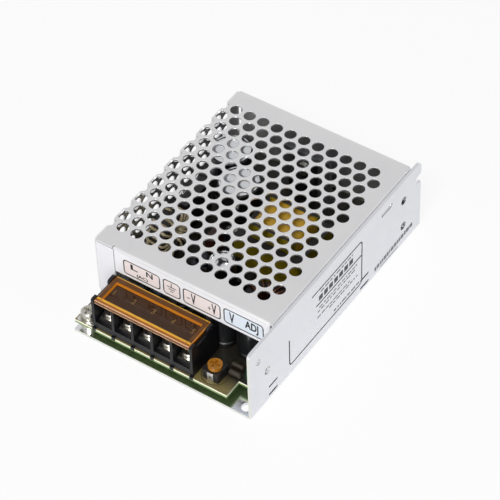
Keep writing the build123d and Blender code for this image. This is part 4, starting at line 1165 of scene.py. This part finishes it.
def pale_floor():
    """A large pale floor: matt paper that also looks white to the camera and in mirrors, and keeps
    the object's shadow."""
    finish, add, place = new_finish("matt_paper")
    grain = add("TexNoise", {"Vector": place, "Scale": per_mm(PAPER_CLOUD), "Detail": 2.0}).outputs[0]
    sheen = add("MapRange", {0: grain, 1: 0.3, 2: 0.7, 3: 0.85, 4: 0.95})
    paper = add("BsdfPrincipled", {"Base Color": "#F6F6F6", "Roughness": sheen.outputs[0]})
    glow = add("Emission", {"Color": "#FFFFFF", "Strength": 1.0})
    rays = add("LightPath")
    mirrored = add(
        "Math",
        {0: rays.outputs["Is Glossy Ray"], 1: rays.outputs["Is Transmission Ray"]},
        operation="MAXIMUM").outputs[0]
    share = add("Math", {0: rays.outputs["Is Camera Ray"], 1: 0.9}, operation="MULTIPLY").outputs[0]
    part = add("Math", {0: mirrored, 1: 0.85}, operation="MULTIPLY").outputs[0]
    most = add("Math", {0: share, 1: part}, operation="MAXIMUM").outputs[0]
    mix = add("MixShader", {0: most, 1: paper.outputs[0], 2: glow.outputs[0]})
    add("OutputMaterial", {"Surface": mix.outputs[0]})
    mesh = bpy.data.meshes.new("floor")
    corners = [(-1, -1), (1, -1), (1, 1), (-1, 1)]
    mesh.from_pydata([(x * FLOOR_HALF, y * FLOOR_HALF, 0) for x, y in corners], [], [(0, 1, 2, 3)])
    mesh.materials.append(finish)
    floor = bpy.data.objects.new("floor", mesh)
    bpy.context.scene.collection.objects.link(floor)


def studio_world():
    """A plain pale surround: white where it is seen or mirrored, a little dimmer overhead, and faint
    as a light."""
    world = bpy.data.worlds.new("studio")
    bpy.context.scene.world = world
    world.use_nodes = True
    world.node_tree.nodes.clear()
    add = partial(add_node, world.node_tree)
    direction = add("TexCoord").outputs["Generated"]
    height = add("SeparateXYZ", {"Vector": direction}).outputs["Z"]
    rise = add("MapRange", {0: height, 1: 0.15, 2: 0.8, 3: 0.0, 4: 1.0}).outputs[0]
    sky = add("Mix", {0: rise, 6: "#FFFFFF", 7: "#E4E3E3"}, data_type="RGBA").outputs[2]
    rays = add("LightPath")
    seen = add(
        "Math",
        {0: rays.outputs["Is Glossy Ray"], 1: rays.outputs["Is Transmission Ray"]},
        operation="MAXIMUM").outputs[0]
    mirrored = add("Background", {"Color": sky, "Strength": 1.0})
    diffuse = add("Background", {"Color": "#FFFFFF", "Strength": 0.2})
    white = add("Background", {"Color": "#FFFFFF", "Strength": 1.0})
    light = add("MixShader", {0: seen, 1: diffuse.outputs[0], 2: mirrored.outputs[0]})
    view = add("MixShader", {0: rays.outputs["Is Camera Ray"], 1: light.outputs[0], 2: white.outputs[0]})
    add("OutputWorld", {"Surface": view.outputs[0]})


def set_stage():
    """Floor, surround, lamps and view transform."""
    pale_floor()
    studio_world()
    for name, (place, size, power) in LAMPS.items():
        lamp(name, place, size, power)
    bpy.context.scene.view_settings.view_transform = "Standard"


place_camera()
dress_nodes()
cover_sheet()
hook_tongue()
window_level, window_middle = flap_cover()
flap_digits(window_level, window_middle)
lip_marks()
panel_marks()
adjuster_details()
block_feet()
ground_pad()
wound_wire("inductor_wire", "inductor_core", "inductor_winding", copper, wire=1.1, ring=9.0, turns=17,
           sectors=((218, 542),))
wound_wire("choke_wire", "choke_core", "choke_winding", beige_wire, wire=1.1, ring=8.0, turns=9,
           sectors=((14, 166), (194, 346)), upright=True)
set_stage()
